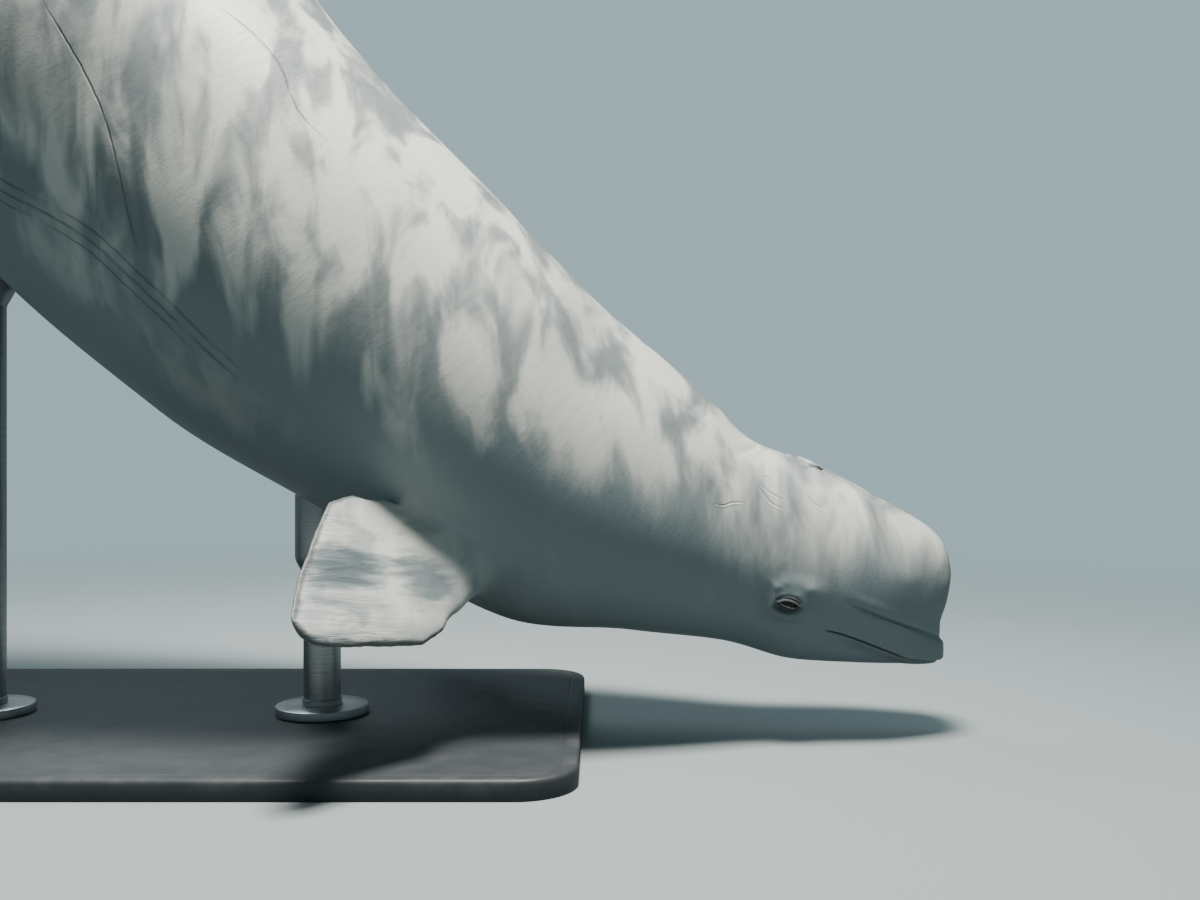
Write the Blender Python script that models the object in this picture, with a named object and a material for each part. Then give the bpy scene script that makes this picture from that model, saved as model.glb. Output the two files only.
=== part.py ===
"""Life-size beluga whale in a shallow dive, head raised and flukes level, on a plain display stand.

The animal is first laid out straight, head forward, with its long axis level. Every point there is
(back, side, up): metres back from the tip of the snout, metres to the animal's left, and metres above
the axis. A bend then carries each point onto the curved spine of the dive. +X is the way the whale
faces, +Z is up, and the origin is the centre of the underside of the stand's base.
"""

import math

import bmesh
import bpy
import numpy as np

SEAM = 0.0003  # gap that parts which touch keep between them

# The spine: metres back from the snout, and how steeply the spine falls towards the head, in degrees
DIVE_PITCH = (
    (0.00, 9.6),
    (0.36, 9.6),
    (0.60, 20.7),
    (0.85, 31.0),
    (1.10, 41.8),
    (1.60, 44.6),
    (2.00, 48.0),
    (2.40, 44.0),
    (2.90, 32.0),
    (3.40, 20.0),
    (3.80, 13.0),
    (4.30, 10.0),
)
SNOUT_X = 1.58  # where the axis meets the snout, from the centre of the base
SNOUT_Z = 0.28

# The trunk: metres back, height above the axis, depth below it, half width
TRUNK = (
    (0.08, 0.016, 0.060, 0.033),
    (0.14, 0.040, 0.090, 0.085),
    (0.22, 0.132, 0.133, 0.122),
    (0.33, 0.194, 0.171, 0.145),
    (0.45, 0.216, 0.178, 0.173),
    (0.58, 0.267, 0.205, 0.218),
    (0.78, 0.315, 0.281, 0.274),
    (1.05, 0.342, 0.308, 0.329),
    (1.45, 0.360, 0.392, 0.371),
    (1.90, 0.383, 0.427, 0.384),
    (2.30, 0.365, 0.400, 0.372),
    (2.70, 0.330, 0.350, 0.322),
    (3.05, 0.280, 0.280, 0.245),
    (3.35, 0.225, 0.210, 0.165),
    (3.62, 0.165, 0.145, 0.100),
    (3.84, 0.098, 0.083, 0.058),
    (3.95, 0.052, 0.046, 0.049),
    (4.02, 0.024, 0.022, 0.039),
    (4.068, 0.0095, 0.0095, 0.024),
)
TRUNK_CUTS = (0.42, 0.72, 1.45, 2.25, 3.05)  # fronts of neck, chest, belly, loin and tail stock
TRUNK_END = 4.066
SIDES = 56  # sides of the head's rings
TRUNK_SIDES = 40
CROWDING = 0.35
RIDGE = (1.75, 2.75, 0.022)  # the low ridge that stands in for a back fin: from, to, height

# Rounded forms of the head: centre back and up, then half length, half width and half height
MELON_FRONT = (0.138, -0.003, 0.118, 0.113, 0.1235)
MELON_CROWN = (0.252, -0.008, 0.152, 0.135, 0.163)
UPPER_JAW = (0.152, -0.113, 0.135, 0.086, 0.0315)
LOWER_JAW = (0.144, -0.136, 0.131, 0.0755, 0.0265)
FULLNESS = 2.4  # 2 is a true ellipsoid, more squares its shoulders
MELON_BLEND = 0.058  # how softly the melon's forms run into each other
JAW_BLEND = 0.040  # how softly the jaws meet the melon above them
HEAD_BLEND = 0.072  # how softly the head meets the trunk
HEAD_CENTRE = (0.230, -0.020)  # back and up: rays for the front of the head start here

# The mouth line, from before the lips to its corner: back and up
MOUTH = (
    (-0.060, -0.139),
    (0.000, -0.140),
    (0.045, -0.1435),
    (0.085, -0.1445),
    (0.124, -0.1365),
    (0.165, -0.1270),
    (0.209, -0.1175),
    (0.240, -0.1125),
    (0.268, -0.1105),
)
JAW_HINGE = ((0.280, -0.116), (0.288, -0.130), (0.292, -0.150), (0.294, -0.260))
LIP_TUCK = 0.006  # how far the lower lip lies inside the upper one
LIP_DEPTH = 0.022

# The fold between the melon and the upper lip, round the front of the head
FOLD_FRONT_UP = -0.098
FOLD_END_UP = -0.052
FOLD_TURN = math.radians(92)
FOLD_RADIUS = 0.0030

# The eyes and lids
EYE = (0.342, -0.072)  # back and up
EYE_SIDE = 0.1355
EYE_RADIUS = 0.0195
LID_SIZE = (0.031, 0.0222, 0.021)  # half length, how far it stands out from the eye's centre, half height
LID_SLIT = (0.0160, 0.0042)  # half length and half height of the gap between the lids
BROW = (0.330, 0.118, -0.040)
BROW_SIZE = (0.060, 0.039, 0.024)
EYE_MOUND = (0.342, 0.118, -0.070)
EYE_MOUND_SIZE = (0.050, 0.035, 0.034)

# The blowhole, a crescent open towards the snout
BLOWHOLE_BACK = 0.335
BLOWHOLE_RADIUS = 0.042
BLOWHOLE_WIDTH = 0.007
BLOWHOLE_DEPTH = 0.018

# The flippers: span along the limb, leading and trailing edges across it, and thickness
FLIPPER = (
    (-0.120, 0.076, -0.060, 0.072),
    (0.000, 0.075, -0.068, 0.066),
    (0.050, 0.087, -0.105, 0.054),
    (0.095, 0.090, -0.118, 0.047),
    (0.140, 0.100, -0.133, 0.041),
    (0.180, 0.101, -0.134, 0.036),
    (0.215, 0.092, -0.117, 0.033),
    (0.265, 0.075, -0.088, 0.029),
    (0.320, 0.059, -0.055, 0.025),
    (0.362, 0.047, -0.028, 0.021),
    (0.388, 0.036, -0.010, 0.016),
    (0.400, 0.024, 0.000, 0.010),
)
FLIPPER_ROOT = (0.905, 0.215, -0.205)
FLIPPER_SPAN = (0.239, 0.88, -0.49)
FLIPPER_CHORD = (-0.95, -0.142, -0.31)
FLIPPER_CURL = 0.03  # how far the tip lifts

# The flukes: distance out from the mid-line, leading and trailing edges back, and thickness
FLUKE = (
    (0.000, 3.790, 4.060, 0.054),
    (0.030, 3.795, 4.096, 0.052),
    (0.070, 3.808, 4.137, 0.046),
    (0.130, 3.836, 4.170, 0.040),
    (0.200, 3.872, 4.182, 0.034),
    (0.280, 3.915, 4.176, 0.028),
    (0.360, 3.960, 4.152, 0.023),
    (0.430, 4.002, 4.118, 0.018),
    (0.475, 4.035, 4.090, 0.013),
    (0.496, 4.056, 4.072, 0.008),
)
FLUKE_DROOP = 0.03

# The stand
BASE_LENGTH = 1.70
BASE_WIDTH = 0.96
BASE_THICKNESS = 0.035
BASE_CORNER = 0.10
ROD_RADIUS = 0.036
ROD_BACK = (1.12, 1.90)  # where the rods hold the body, metres back from the snout
FLANGE_RADIUS = 0.090
FLANGE_THICKNESS = 0.018
CUP_RADIUS = 0.052
CUP_HEIGHT = 0.070


def smooth_stations(stations, column, place):
    """A column of a station table at each place, on a smooth curve through the stations."""
    places = np.array([row[0] for row in stations])
    values = np.array([row[column] for row in stations])
    steps = np.diff(places)
    slopes = np.diff(values) / steps
    tangents = np.empty_like(values)
    tangents[0] = slopes[0]
    tangents[-1] = slopes[-1]
    before, after = slopes[:-1], slopes[1:]
    same_way = before * after > 0
    weight_a = 2 * steps[1:] + steps[:-1]
    weight_b = steps[1:] + 2 * steps[:-1]
    safe_before = np.where(same_way, before, 1.0)
    safe_after = np.where(same_way, after, 1.0)
    mean = (weight_a + weight_b) / (weight_a / safe_before + weight_b / safe_after)
    tangents[1:-1] = np.where(same_way, mean, 0.0)
    place = np.clip(place, places[0], places[-1])
    left = np.clip(np.searchsorted(places, place, side="right") - 1, 0, len(steps) - 1)
    width = steps[left]
    t = (place - places[left]) / width
    return (
        (1 + 2 * t) * (1 - t) ** 2 * values[left]
        + t * (1 - t) ** 2 * width * tangents[left]
        + t * t * (3 - 2 * t) * values[left + 1]
        + t * t * (t - 1) * width * tangents[left + 1]
    )


SPINE_STEP = 0.01
SPINE_BACK = np.arange(-0.2, 4.6, SPINE_STEP)
SPINE_PITCH = np.radians(smooth_stations(DIVE_PITCH, 1, SPINE_BACK))
START = int(round(0.2 / SPINE_STEP))
SPINE_X = -np.cumsum(np.cos(SPINE_PITCH)) * SPINE_STEP
SPINE_X += SNOUT_X - SPINE_X[START]
SPINE_Z = np.cumsum(np.sin(SPINE_PITCH)) * SPINE_STEP
SPINE_Z += SNOUT_Z - SPINE_Z[START]


def bent(points):
    """Straight points (back, side, up) carried onto the curved spine, as world points."""
    points = np.asarray(points, dtype=float)
    back, side, up = points[..., 0], points[..., 1], points[..., 2]
    pitch = np.interp(back, SPINE_BACK, SPINE_PITCH)
    x = np.interp(back, SPINE_BACK, SPINE_X) + np.sin(pitch) * up
    z = np.interp(back, SPINE_BACK, SPINE_Z) + np.cos(pitch) * up
    return np.stack([x, side, z], axis=-1)


def ellipsoid(points, centre, radii):
    """Rough distance outside an ellipsoid with full shoulders: negative inside it."""
    scaled = np.abs(points - np.array(centre)) / np.array(radii)
    reach = np.maximum(np.sum(scaled**FULLNESS, axis=-1) ** (1 / FULLNESS), 0.05)
    slope = (scaled / reach[..., None]) ** (FULLNESS - 1) / np.array(radii)
    return (reach - 1.0) / np.linalg.norm(slope, axis=-1)


def rounded_form(points, form):
    """One of the head's rounded forms on the mid-line."""
    back, up, half_length, half_width, half_height = form
    return ellipsoid(points, (back, 0.0, up), (half_length, half_width, half_height))


def trunk_form(points):
    """Rough distance outside the trunk's own oval sections and the ridge along its back."""
    back, side, up = points[..., 0], points[..., 1], points[..., 2]
    top = smooth_stations(TRUNK, 1, back)
    bottom = smooth_stations(TRUNK, 2, back)
    width = smooth_stations(TRUNK, 3, back)
    along = np.clip((back - RIDGE[0]) / (RIDGE[1] - RIDGE[0]), 0.0, 1.0)
    ridge = RIDGE[2] * np.sin(math.pi * along) * np.exp(-((side / 0.035) ** 2))
    height = np.where(up > 0, top + ridge, bottom)
    reach = np.hypot(side / width, up / height)
    beyond = np.maximum(TRUNK[0][0] - back, back - TRUNK[-1][0])
    return np.maximum((reach - 1.0) * np.minimum(width, (top + bottom) / 2), beyond)


def blended(first, second, softness):
    """The union of two forms, with a fillet of about that size where they meet."""
    mix = np.clip(0.5 + 0.5 * (second - first) / softness, 0.0, 1.0)
    return second + (first - second) * mix - softness * mix * (1.0 - mix)


def body_form(points):
    """Rough distance outside the head and trunk together."""
    crown = blended(
        rounded_form(points, MELON_FRONT), rounded_form(points, MELON_CROWN), MELON_BLEND
    )
    jaws = blended(
        rounded_form(points, UPPER_JAW), rounded_form(points, LOWER_JAW), JAW_BLEND
    )
    head = blended(blended(crown, jaws, JAW_BLEND), trunk_form(points), HEAD_BLEND)
    mirrored = points * np.array([1.0, 0.0, 1.0])
    mirrored[..., 1] = np.abs(points[..., 1])
    head = blended(head, ellipsoid(mirrored, BROW, BROW_SIZE), 0.02)
    return blended(head, ellipsoid(mirrored, EYE_MOUND, EYE_MOUND_SIZE), 0.014)


def jaw_form(points):
    """The body with the lower lip tucked inside the upper one."""
    below = smooth_stations(MOUTH, 1, points[..., 0]) - points[..., 2]
    near_corner = np.clip((0.275 - points[..., 0]) / 0.08, 0.0, 1.0)
    tuck = LIP_TUCK * np.exp(-((below / LIP_DEPTH) ** 2)) * near_corner
    return body_form(points) + tuck


def cast(form, starts, ways, reach=0.6):
    """The points where rays leave a form."""
    steps = np.linspace(0.0, reach, 50)
    inside = np.stack([form(starts + ways * d) < 0 for d in steps])
    first = np.maximum(np.argmin(inside, axis=0), 1)
    near, far = steps[first - 1], steps[first]
    for _ in range(20):
        middle = (near + far) / 2
        outside = form(starts + ways * middle[..., None]) > 0
        far = np.where(outside, middle, far)
        near = np.where(outside, near, middle)
    return starts + ways * near[..., None]


def turns_round(sides, crowding=0.0):
    """Angles round the body from the top; crowding draws them together under the chin."""
    turn = np.linspace(0.0, 2 * math.pi, sides, endpoint=False)
    return turn + crowding * np.sin(turn)


def ring(form, back, sides, grow=0.0, crowding=0.0):
    """One ring of straight surface points, in the upright plane at a distance back."""
    turn = turns_round(sides, crowding)
    ways = np.stack([np.zeros(sides), -np.sin(turn), np.cos(turn)], axis=-1)
    middle = HEAD_CENTRE[1] * min(1.0, max(0.0, (3.0 - back) / 2))
    starts = np.array([back, 0.0, middle]) + np.zeros((sides, 3))
    return cast(form, starts, ways) + ways * grow


def cap_ring(form, lean, sides):
    """One ring of straight surface points on the front of the head; lean 0 is dead ahead."""
    turn = turns_round(sides, CROWDING)
    ahead = np.full(sides, -math.cos(lean))
    ways = np.stack(
        [ahead, -np.sin(turn) * math.sin(lean), np.cos(turn) * math.sin(lean)], axis=-1
    )
    starts = np.array([HEAD_CENTRE[0], 0.0, HEAD_CENTRE[1]]) + np.zeros((sides, 3))
    return cast(form, starts, ways)


def add_part(name, mesh, collection):
    """A new object of that name from a bmesh, with its faces turned outwards."""
    bmesh.ops.recalc_face_normals(mesh, faces=mesh.faces)
    if mesh.calc_volume(signed=True) < 0:
        bmesh.ops.reverse_faces(mesh, faces=mesh.faces)
    data = bpy.data.meshes.new(name)
    mesh.to_mesh(data)
    mesh.free()
    part = bpy.data.objects.new(name, data)
    collection.objects.link(part)
    return part


def loft(name, rings, collection, tip_front=None, tip_back=None):
    """A closed object through world rings, each end closed by a flat face or by a tip."""
    mesh = bmesh.new()
    rows = [[mesh.verts.new(p) for p in r] for r in rings]
    count = len(rows[0])
    for ahead, behind in zip(rows, rows[1:]):
        for i in range(count):
            j = (i + 1) % count
            mesh.faces.new((ahead[i], ahead[j], behind[j]))
            mesh.faces.new((ahead[i], behind[j], behind[i]))
    for row, tip in ((rows[0], tip_front), (rows[-1], tip_back)):
        if tip is None:
            mesh.faces.new(row)
            continue
        point = mesh.verts.new(tip)
        for i in range(count):
            mesh.faces.new((point, row[i], row[(i + 1) % count]))
    return add_part(name, mesh, collection)


def combine(part, other, operation):
    """Applies an exact Boolean with another object to the part."""
    step = part.modifiers.new("cut", "BOOLEAN")
    step.operation = operation
    step.solver = "EXACT"
    step.object = other
    bpy.context.view_layer.update()
    result = part.evaluated_get(bpy.context.evaluated_depsgraph_get())
    data = bpy.data.meshes.new_from_object(result)
    part.modifiers.remove(step)
    old = part.data
    part.data = data
    data.name = part.name
    bpy.data.meshes.remove(old)


def keep_largest(part):
    """Leaves only the part's largest closed surface."""
    mesh = bmesh.new()
    mesh.from_mesh(part.data)
    waiting = set(mesh.faces)
    shells = []
    while waiting:
        shell = [waiting.pop()]
        for face in shell:
            for edge in face.edges:
                for near in edge.link_faces:
                    if near in waiting:
                        waiting.remove(near)
                        shell.append(near)
        shells.append(shell)
    shells.sort(key=lambda faces: sum(face.calc_area() for face in faces))
    for shell in shells[:-1]:
        bmesh.ops.delete(mesh, geom=shell, context="FACES")
    loose = [vert for vert in mesh.verts if not vert.link_faces]
    bmesh.ops.delete(mesh, geom=loose, context="VERTS")
    mesh.to_mesh(part.data)
    mesh.free()


def sheet_prism(name, outline, half_width, collection):
    """A solid made from an outline of (back, up) points, as wide as asked on both sides."""
    mesh = bmesh.new()
    flat = np.array(outline)
    sides = []
    for side in (-half_width, half_width):
        points = np.stack([flat[:, 0], np.full(len(flat), side), flat[:, 1]], axis=-1)
        sides.append([mesh.verts.new(p) for p in bent(points)])
    near, far = sides
    mesh.faces.new(near)
    mesh.faces.new(far)
    for i in range(len(near)):
        j = (i + 1) % len(near)
        mesh.faces.new((near[i], near[j], far[j], far[i]))
    return add_part(name, mesh, collection)


def material(name, colour, roughness, metallic=0.0):
    """A plain Principled material."""
    look = bpy.data.materials.new(name)
    look.use_nodes = True
    shader = look.node_tree.nodes["Principled BSDF"]
    shader.inputs["Base Color"].default_value = (*colour, 1.0)
    shader.inputs["Roughness"].default_value = roughness
    shader.inputs["Metallic"].default_value = metallic
    return look


def globe(name, centre, radii, collection, segments=18, rings=10, turn=0.0):
    """An ellipsoid with its poles left and right, set in straight coordinates on the head."""
    bpy.ops.mesh.primitive_uv_sphere_add(segments=segments, ring_count=rings, radius=1.0)
    part = bpy.context.object
    part.name = name
    part.data.name = name
    for holder in list(part.users_collection):
        holder.objects.unlink(part)
    collection.objects.link(part)
    points = np.empty(len(part.data.vertices) * 3)
    part.data.vertices.foreach_get("co", points)
    points = points.reshape(-1, 3)
    back, up, side = points[:, 0] * radii[0], points[:, 1] * radii[2], points[:, 2] * radii[1]
    turned_back = back * math.cos(turn) - up * math.sin(turn)
    turned_up = back * math.sin(turn) + up * math.cos(turn)
    straight = np.stack([turned_back, side, turned_up], axis=-1) + np.array(centre)
    part.data.vertices.foreach_set("co", bent(straight).ravel())
    mesh = bmesh.new()
    mesh.from_mesh(part.data)
    bmesh.ops.recalc_face_normals(mesh, faces=mesh.faces)
    if mesh.calc_volume(signed=True) < 0:
        bmesh.ops.reverse_faces(mesh, faces=mesh.faces)
    mesh.to_mesh(part.data)
    mesh.free()
    return part


def groove(name, path, outward, half_widths, depths, collection):
    """A tapered tube along a path just outside the skin, to cut a fold or a slit."""
    rings = []
    last = len(path) - 1
    around = np.linspace(0, 2 * math.pi, 8, endpoint=False)
    for i in range(len(path)):
        ahead = path[min(i + 1, last)] - path[max(i - 1, 0)]
        ahead = ahead / np.linalg.norm(ahead)
        out = outward[i] - ahead * np.dot(outward[i], ahead)
        out = out / np.linalg.norm(out)
        across = np.cross(ahead, out)
        rings.append(
            [
                path[i] + depths[i] * math.cos(a) * out + half_widths[i] * math.sin(a) * across
                for a in around
            ]
        )
    return loft(name, rings, collection)


for old in list(bpy.data.objects):
    bpy.data.objects.remove(old)
PARTS = bpy.data.collections.new("beluga_whale")
TOOLS = bpy.data.collections.new("cutters")
bpy.context.scene.collection.children.link(PARTS)
bpy.context.scene.collection.children.link(TOOLS)
bpy.context.view_layer.update()

# Head and lower jaw
HEAD_LEANS = np.radians(
    np.concatenate([(4, 8, 12, 16, 19), np.linspace(22, 46, 11), np.linspace(50, 90, 11)])
)
HEAD_BACKS = np.linspace(HEAD_CENTRE[0], TRUNK_CUTS[0], 15)[1:]


def head_block(name, form, collection):
    """The whole head as one closed solid."""
    rings = [bent(cap_ring(form, lean, SIDES)) for lean in HEAD_LEANS]
    rings += [bent(ring(form, back, SIDES, 0.0, CROWDING)) for back in HEAD_BACKS]
    tip = bent(cap_ring(form, 1e-5, 4)[0])
    return loft(name, rings, collection, tip_front=tip)


head = head_block("head", body_form, PARTS)
jaw = head_block("lower_jaw", jaw_form, PARTS)

mouth = list(MOUTH) + list(JAW_HINGE)
front_bottom = (MOUTH[0][0], JAW_HINGE[-1][1])
gape = sheet_prism("mouth_cutter", mouth + [front_bottom], 0.30, TOOLS)
lower_edge = [(back, up - SEAM) for back, up in MOUTH]
hinge_edge = [(back - SEAM, up - SEAM) for back, up in JAW_HINGE]
jaw_block = sheet_prism("jaw_block", lower_edge + hinge_edge + [front_bottom], 0.29, TOOLS)
combine(head, gape, "DIFFERENCE")
combine(jaw, jaw_block, "INTERSECT")

# The fold between melon and upper lip
FOLD_STEPS = 30
turns = np.linspace(-FOLD_TURN, FOLD_TURN, FOLD_STEPS)
share = np.abs(turns) / FOLD_TURN
heights = FOLD_FRONT_UP + (FOLD_END_UP - FOLD_FRONT_UP) * share
starts = np.stack([np.full(FOLD_STEPS, HEAD_CENTRE[0]), np.zeros(FOLD_STEPS), heights], axis=-1)
ways = np.stack([-np.cos(turns), np.sin(turns), np.zeros(FOLD_STEPS)], axis=-1)
lift = FOLD_RADIUS * (0.35 + 1.2 * share**4)
path = bent(cast(body_form, starts, ways) + ways * lift[:, None])
outward = bent(starts + ways * 0.01) - bent(starts)
thick = np.full(FOLD_STEPS, FOLD_RADIUS)
fold = groove("fold_cutter", path, outward, thick, thick, TOOLS)
combine(head, fold, "DIFFERENCE")

# Eyes and lids
for word, side in (("left", 1), ("right", -1)):
    place = (EYE[0], side * EYE_SIDE, EYE[1])
    ball = (EYE_RADIUS, EYE_RADIUS, EYE_RADIUS)
    room = (EYE_RADIUS + SEAM, EYE_RADIUS + SEAM, EYE_RADIUS + SEAM)
    lids = globe(f"lids_{word}", place, LID_SIZE, TOOLS, 20, 10)
    socket = globe(f"socket_{word}", place, room, TOOLS)
    outer = (EYE[0], side * (EYE_SIDE + 0.02), EYE[1])
    slit_size = (LID_SLIT[0], 0.02, LID_SLIT[1])
    slit = globe(f"slit_{word}", outer, slit_size, TOOLS, 16, 8, math.radians(4))
    combine(head, lids, "UNION")
    combine(head, socket, "DIFFERENCE")
    combine(head, slit, "DIFFERENCE")
    globe(f"eye_{word}", place, ball, PARTS)

# The blowhole
turns = np.radians(np.linspace(-105, 105, 17))
taper = np.cos(turns * 0.78)
starts = np.stack(
    [
        BLOWHOLE_BACK + BLOWHOLE_RADIUS * (np.cos(turns) - 0.5),
        BLOWHOLE_RADIUS * np.sin(turns),
        np.zeros(len(turns)),
    ],
    axis=-1,
)
ways = np.zeros((len(turns), 3)) + np.array([0.0, 0.0, 1.0])
path = bent(cast(body_form, starts, ways) + ways * 0.002)
outward = bent(starts + ways * 0.01) - bent(starts)
slit_width = 0.0015 + BLOWHOLE_WIDTH / 2 * taper
slit_depth = 0.004 + BLOWHOLE_DEPTH * taper
blowhole = groove("blowhole_cutter", path, outward, slit_width, slit_depth, TOOLS)
combine(head, blowhole, "DIFFERENCE")
keep_largest(head)
keep_largest(jaw)

# The trunk. Each node's rings run from just behind its cut to the next cut. A block is the same node grown by
# the seam, to cut away what sinks into it.
RING_STEP = 0.085
blocks = {}
trunk_ends = list(TRUNK_CUTS[1:]) + [TRUNK_END]
trunk_names = ("neck", "chest", "belly", "loin", "tail_stock")
for name, first, last in zip(trunk_names, TRUNK_CUTS, trunk_ends):
    count = max(6, int(round((last - first) / RING_STEP)))
    crowd = 0.8 if name == "tail_stock" else 1.0
    places = first + SEAM + (last - first - SEAM) * np.linspace(0, 1, count + 1) ** crowd
    loft(name, [bent(ring(body_form, b, TRUNK_SIDES)) for b in places], PARTS)
    if name in ("chest", "belly", "tail_stock"):
        places[-1] += SEAM
        grown = [bent(ring(body_form, b, TRUNK_SIDES, SEAM * 1.15)) for b in places]
        blocks[name] = loft(f"{name}_block", grown, TOOLS)

# Flippers
SECTION_SIDES = 22


def limb_section(lead, trail, thick, turn_count=SECTION_SIDES):
    """Points (across, out of plane) round a limb's section, thickest a third back from its edge."""
    around = np.linspace(0, 2 * math.pi, turn_count, endpoint=False)
    middle, half = (lead + trail) / 2, (lead - trail) / 2
    across = np.cos(around)
    plump = np.abs(np.sin(around)) ** 0.9 * (1.0 + 0.35 * across) / 1.06
    return middle + half * across, np.sign(np.sin(around)) * plump * thick / 2


def normal_of(vector):
    """A vector made one long."""
    return np.array(vector) / np.linalg.norm(vector)


for word, side in (("left", 1), ("right", -1)):
    span = normal_of(FLIPPER_SPAN) * np.array([1, side, 1])
    chord = np.array(FLIPPER_CHORD) * np.array([1, side, 1])
    chord = normal_of(chord - span * np.dot(span, chord))
    lift = np.cross(span, chord)
    lift = lift * (1 if lift[2] > 0 else -1)
    root = np.array(FLIPPER_ROOT) * np.array([1, side, 1])
    rings = []
    for out in np.concatenate([np.linspace(-0.12, 0.32, 15), np.linspace(0.34, 0.398, 6)]):
        lead, trail, thick = (float(smooth_stations(FLIPPER, c, out)) for c in (1, 2, 3))
        across, off = limb_section(lead, trail, thick)
        curl = FLIPPER_CURL * max(0.0, out / FLIPPER[-1][0]) ** 2.2
        rings.append(
            bent(
                root
                + span * out
                + np.outer(across, chord)
                + np.outer(off + curl, lift)
            )
        )
    lead, trail, curl = FLIPPER[-1][1], FLIPPER[-1][2], FLIPPER_CURL
    tip = bent(root + span * FLIPPER[-1][0] + chord * (lead + trail) / 2 + lift * curl)
    flipper = loft(f"flipper_{word}", rings, PARTS, tip_back=tip)
    combine(flipper, blocks["chest"], "DIFFERENCE")
    keep_largest(flipper)

# Flukes
for word, side in (("left", 1), ("right", -1)):
    rings = []
    for out in np.concatenate([np.linspace(0, 0.40, 12), np.linspace(0.425, 0.495, 5)]):
        lead, trail, thick = (float(smooth_stations(FLUKE, c, out)) for c in (1, 2, 3))
        across, off = limb_section(lead, trail, thick)
        droop = -FLUKE_DROOP * (out / 0.5) ** 2
        sideways = np.full(len(across), side * (out + SEAM / 2))
        rings.append(bent(np.stack([across, sideways, off + droop], axis=-1)))
    tip = bent((4.064, side * 0.502, -FLUKE_DROOP))
    fluke = loft(f"fluke_{word}", rings, PARTS, tip_back=tip)
    combine(fluke, blocks["tail_stock"], "DIFFERENCE")
    keep_largest(fluke)

# The stand
bpy.ops.mesh.primitive_cube_add(size=1.0)
base = bpy.context.object
base.name = "stand_base"
base.data.name = "stand_base"
for holder in list(base.users_collection):
    holder.objects.unlink(base)
PARTS.objects.link(base)
mesh = bmesh.new()
mesh.from_mesh(base.data)
bmesh.ops.scale(mesh, vec=(BASE_LENGTH, BASE_WIDTH, BASE_THICKNESS), verts=mesh.verts)
bmesh.ops.translate(mesh, vec=(0, 0, BASE_THICKNESS / 2), verts=mesh.verts)
upright = [e for e in mesh.edges if abs(e.verts[0].co.z - e.verts[1].co.z) > BASE_THICKNESS / 2]
bmesh.ops.bevel(
    mesh, geom=upright, offset=BASE_CORNER, segments=6, profile=0.5, affect="EDGES", clamp_overlap=True
)
rim = [e for e in mesh.edges if all(v.co.z > BASE_THICKNESS * 0.9 for v in e.verts)]
rim = [e for e in rim if any(abs(f.normal.z) < 0.5 for f in e.link_faces)]
bmesh.ops.bevel(mesh, geom=rim, offset=0.008, segments=2, profile=0.5, affect="EDGES")
mesh.to_mesh(base.data)
mesh.free()

stands = zip(("front", "rear"), ROD_BACK, ("chest", "belly"))
for word, back, above in stands:
    down = np.array([[0.0, 0.0, -1.0]])
    under = bent(cast(body_form, np.array([[back, 0.0, 0.0]]), down)[0])
    flange_low = BASE_THICKNESS + SEAM
    rod_low = flange_low + FLANGE_THICKNESS + SEAM
    flange_profile = (
        (FLANGE_RADIUS, flange_low),
        (FLANGE_RADIUS, flange_low + FLANGE_THICKNESS - 0.004),
        (FLANGE_RADIUS - 0.0012, flange_low + FLANGE_THICKNESS - 0.0012),
        (FLANGE_RADIUS - 0.004, flange_low + FLANGE_THICKNESS),
    )
    rod_profile = (
        (ROD_RADIUS, rod_low),
        (ROD_RADIUS, under[2] - CUP_HEIGHT - 0.03),
        (CUP_RADIUS, under[2] - CUP_HEIGHT),
        (CUP_RADIUS, under[2] + 0.09),
    )
    around = np.linspace(0, 2 * math.pi, 32, endpoint=False)
    for name, profile in ((f"stand_flange_{word}", flange_profile), (f"stand_rod_{word}", rod_profile)):
        rings = [
            [(under[0] + radius * math.cos(a), radius * math.sin(a), height) for a in around]
            for radius, height in profile
        ]
        piece = loft(name, rings, PARTS)
        if profile is rod_profile:
            combine(piece, blocks[above], "DIFFERENCE")
            keep_largest(piece)

# Looks
SKIN = ("skin", (0.80, 0.83, 0.83), 0.42)
for part in PARTS.objects:
    if part.name.startswith("eye"):
        look = material(f"{part.name}_mat", (0.03, 0.025, 0.02), 0.1)
    elif part.name == "stand_base":
        look = material("stand_base_mat", (0.05, 0.055, 0.06), 0.5)
    elif part.name.startswith("stand"):
        look = material(f"{part.name}_mat", (0.6, 0.6, 0.6), 0.3, 1.0)
    else:
        look = material(f"{part.name}_mat", SKIN[1], SKIN[2])
    part.data.materials.clear()
    part.data.materials.append(look)
    for face in part.data.polygons:
        face.use_smooth = True
    part.data.set_sharp_from_angle(angle=math.radians(38))
TOOLS.hide_render = True
for tool in TOOLS.objects:
    tool.hide_render = True
    tool.display_type = "WIRE"
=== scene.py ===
"""The looks of the life-size beluga whale model: one skin, two eyes and a display stand, in a plain studio.

As in the solids, the animal is first laid out straight, head forward, and every point there is (back, side, up):
metres back from the tip of the snout, metres to the animal's left, and metres above its long axis. A bend then
carries each point onto the curved spine of the dive.
"""

import logging
import math
from collections.abc import Callable, Sequence
from dataclasses import dataclass, field
from enum import Enum
from functools import lru_cache

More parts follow.
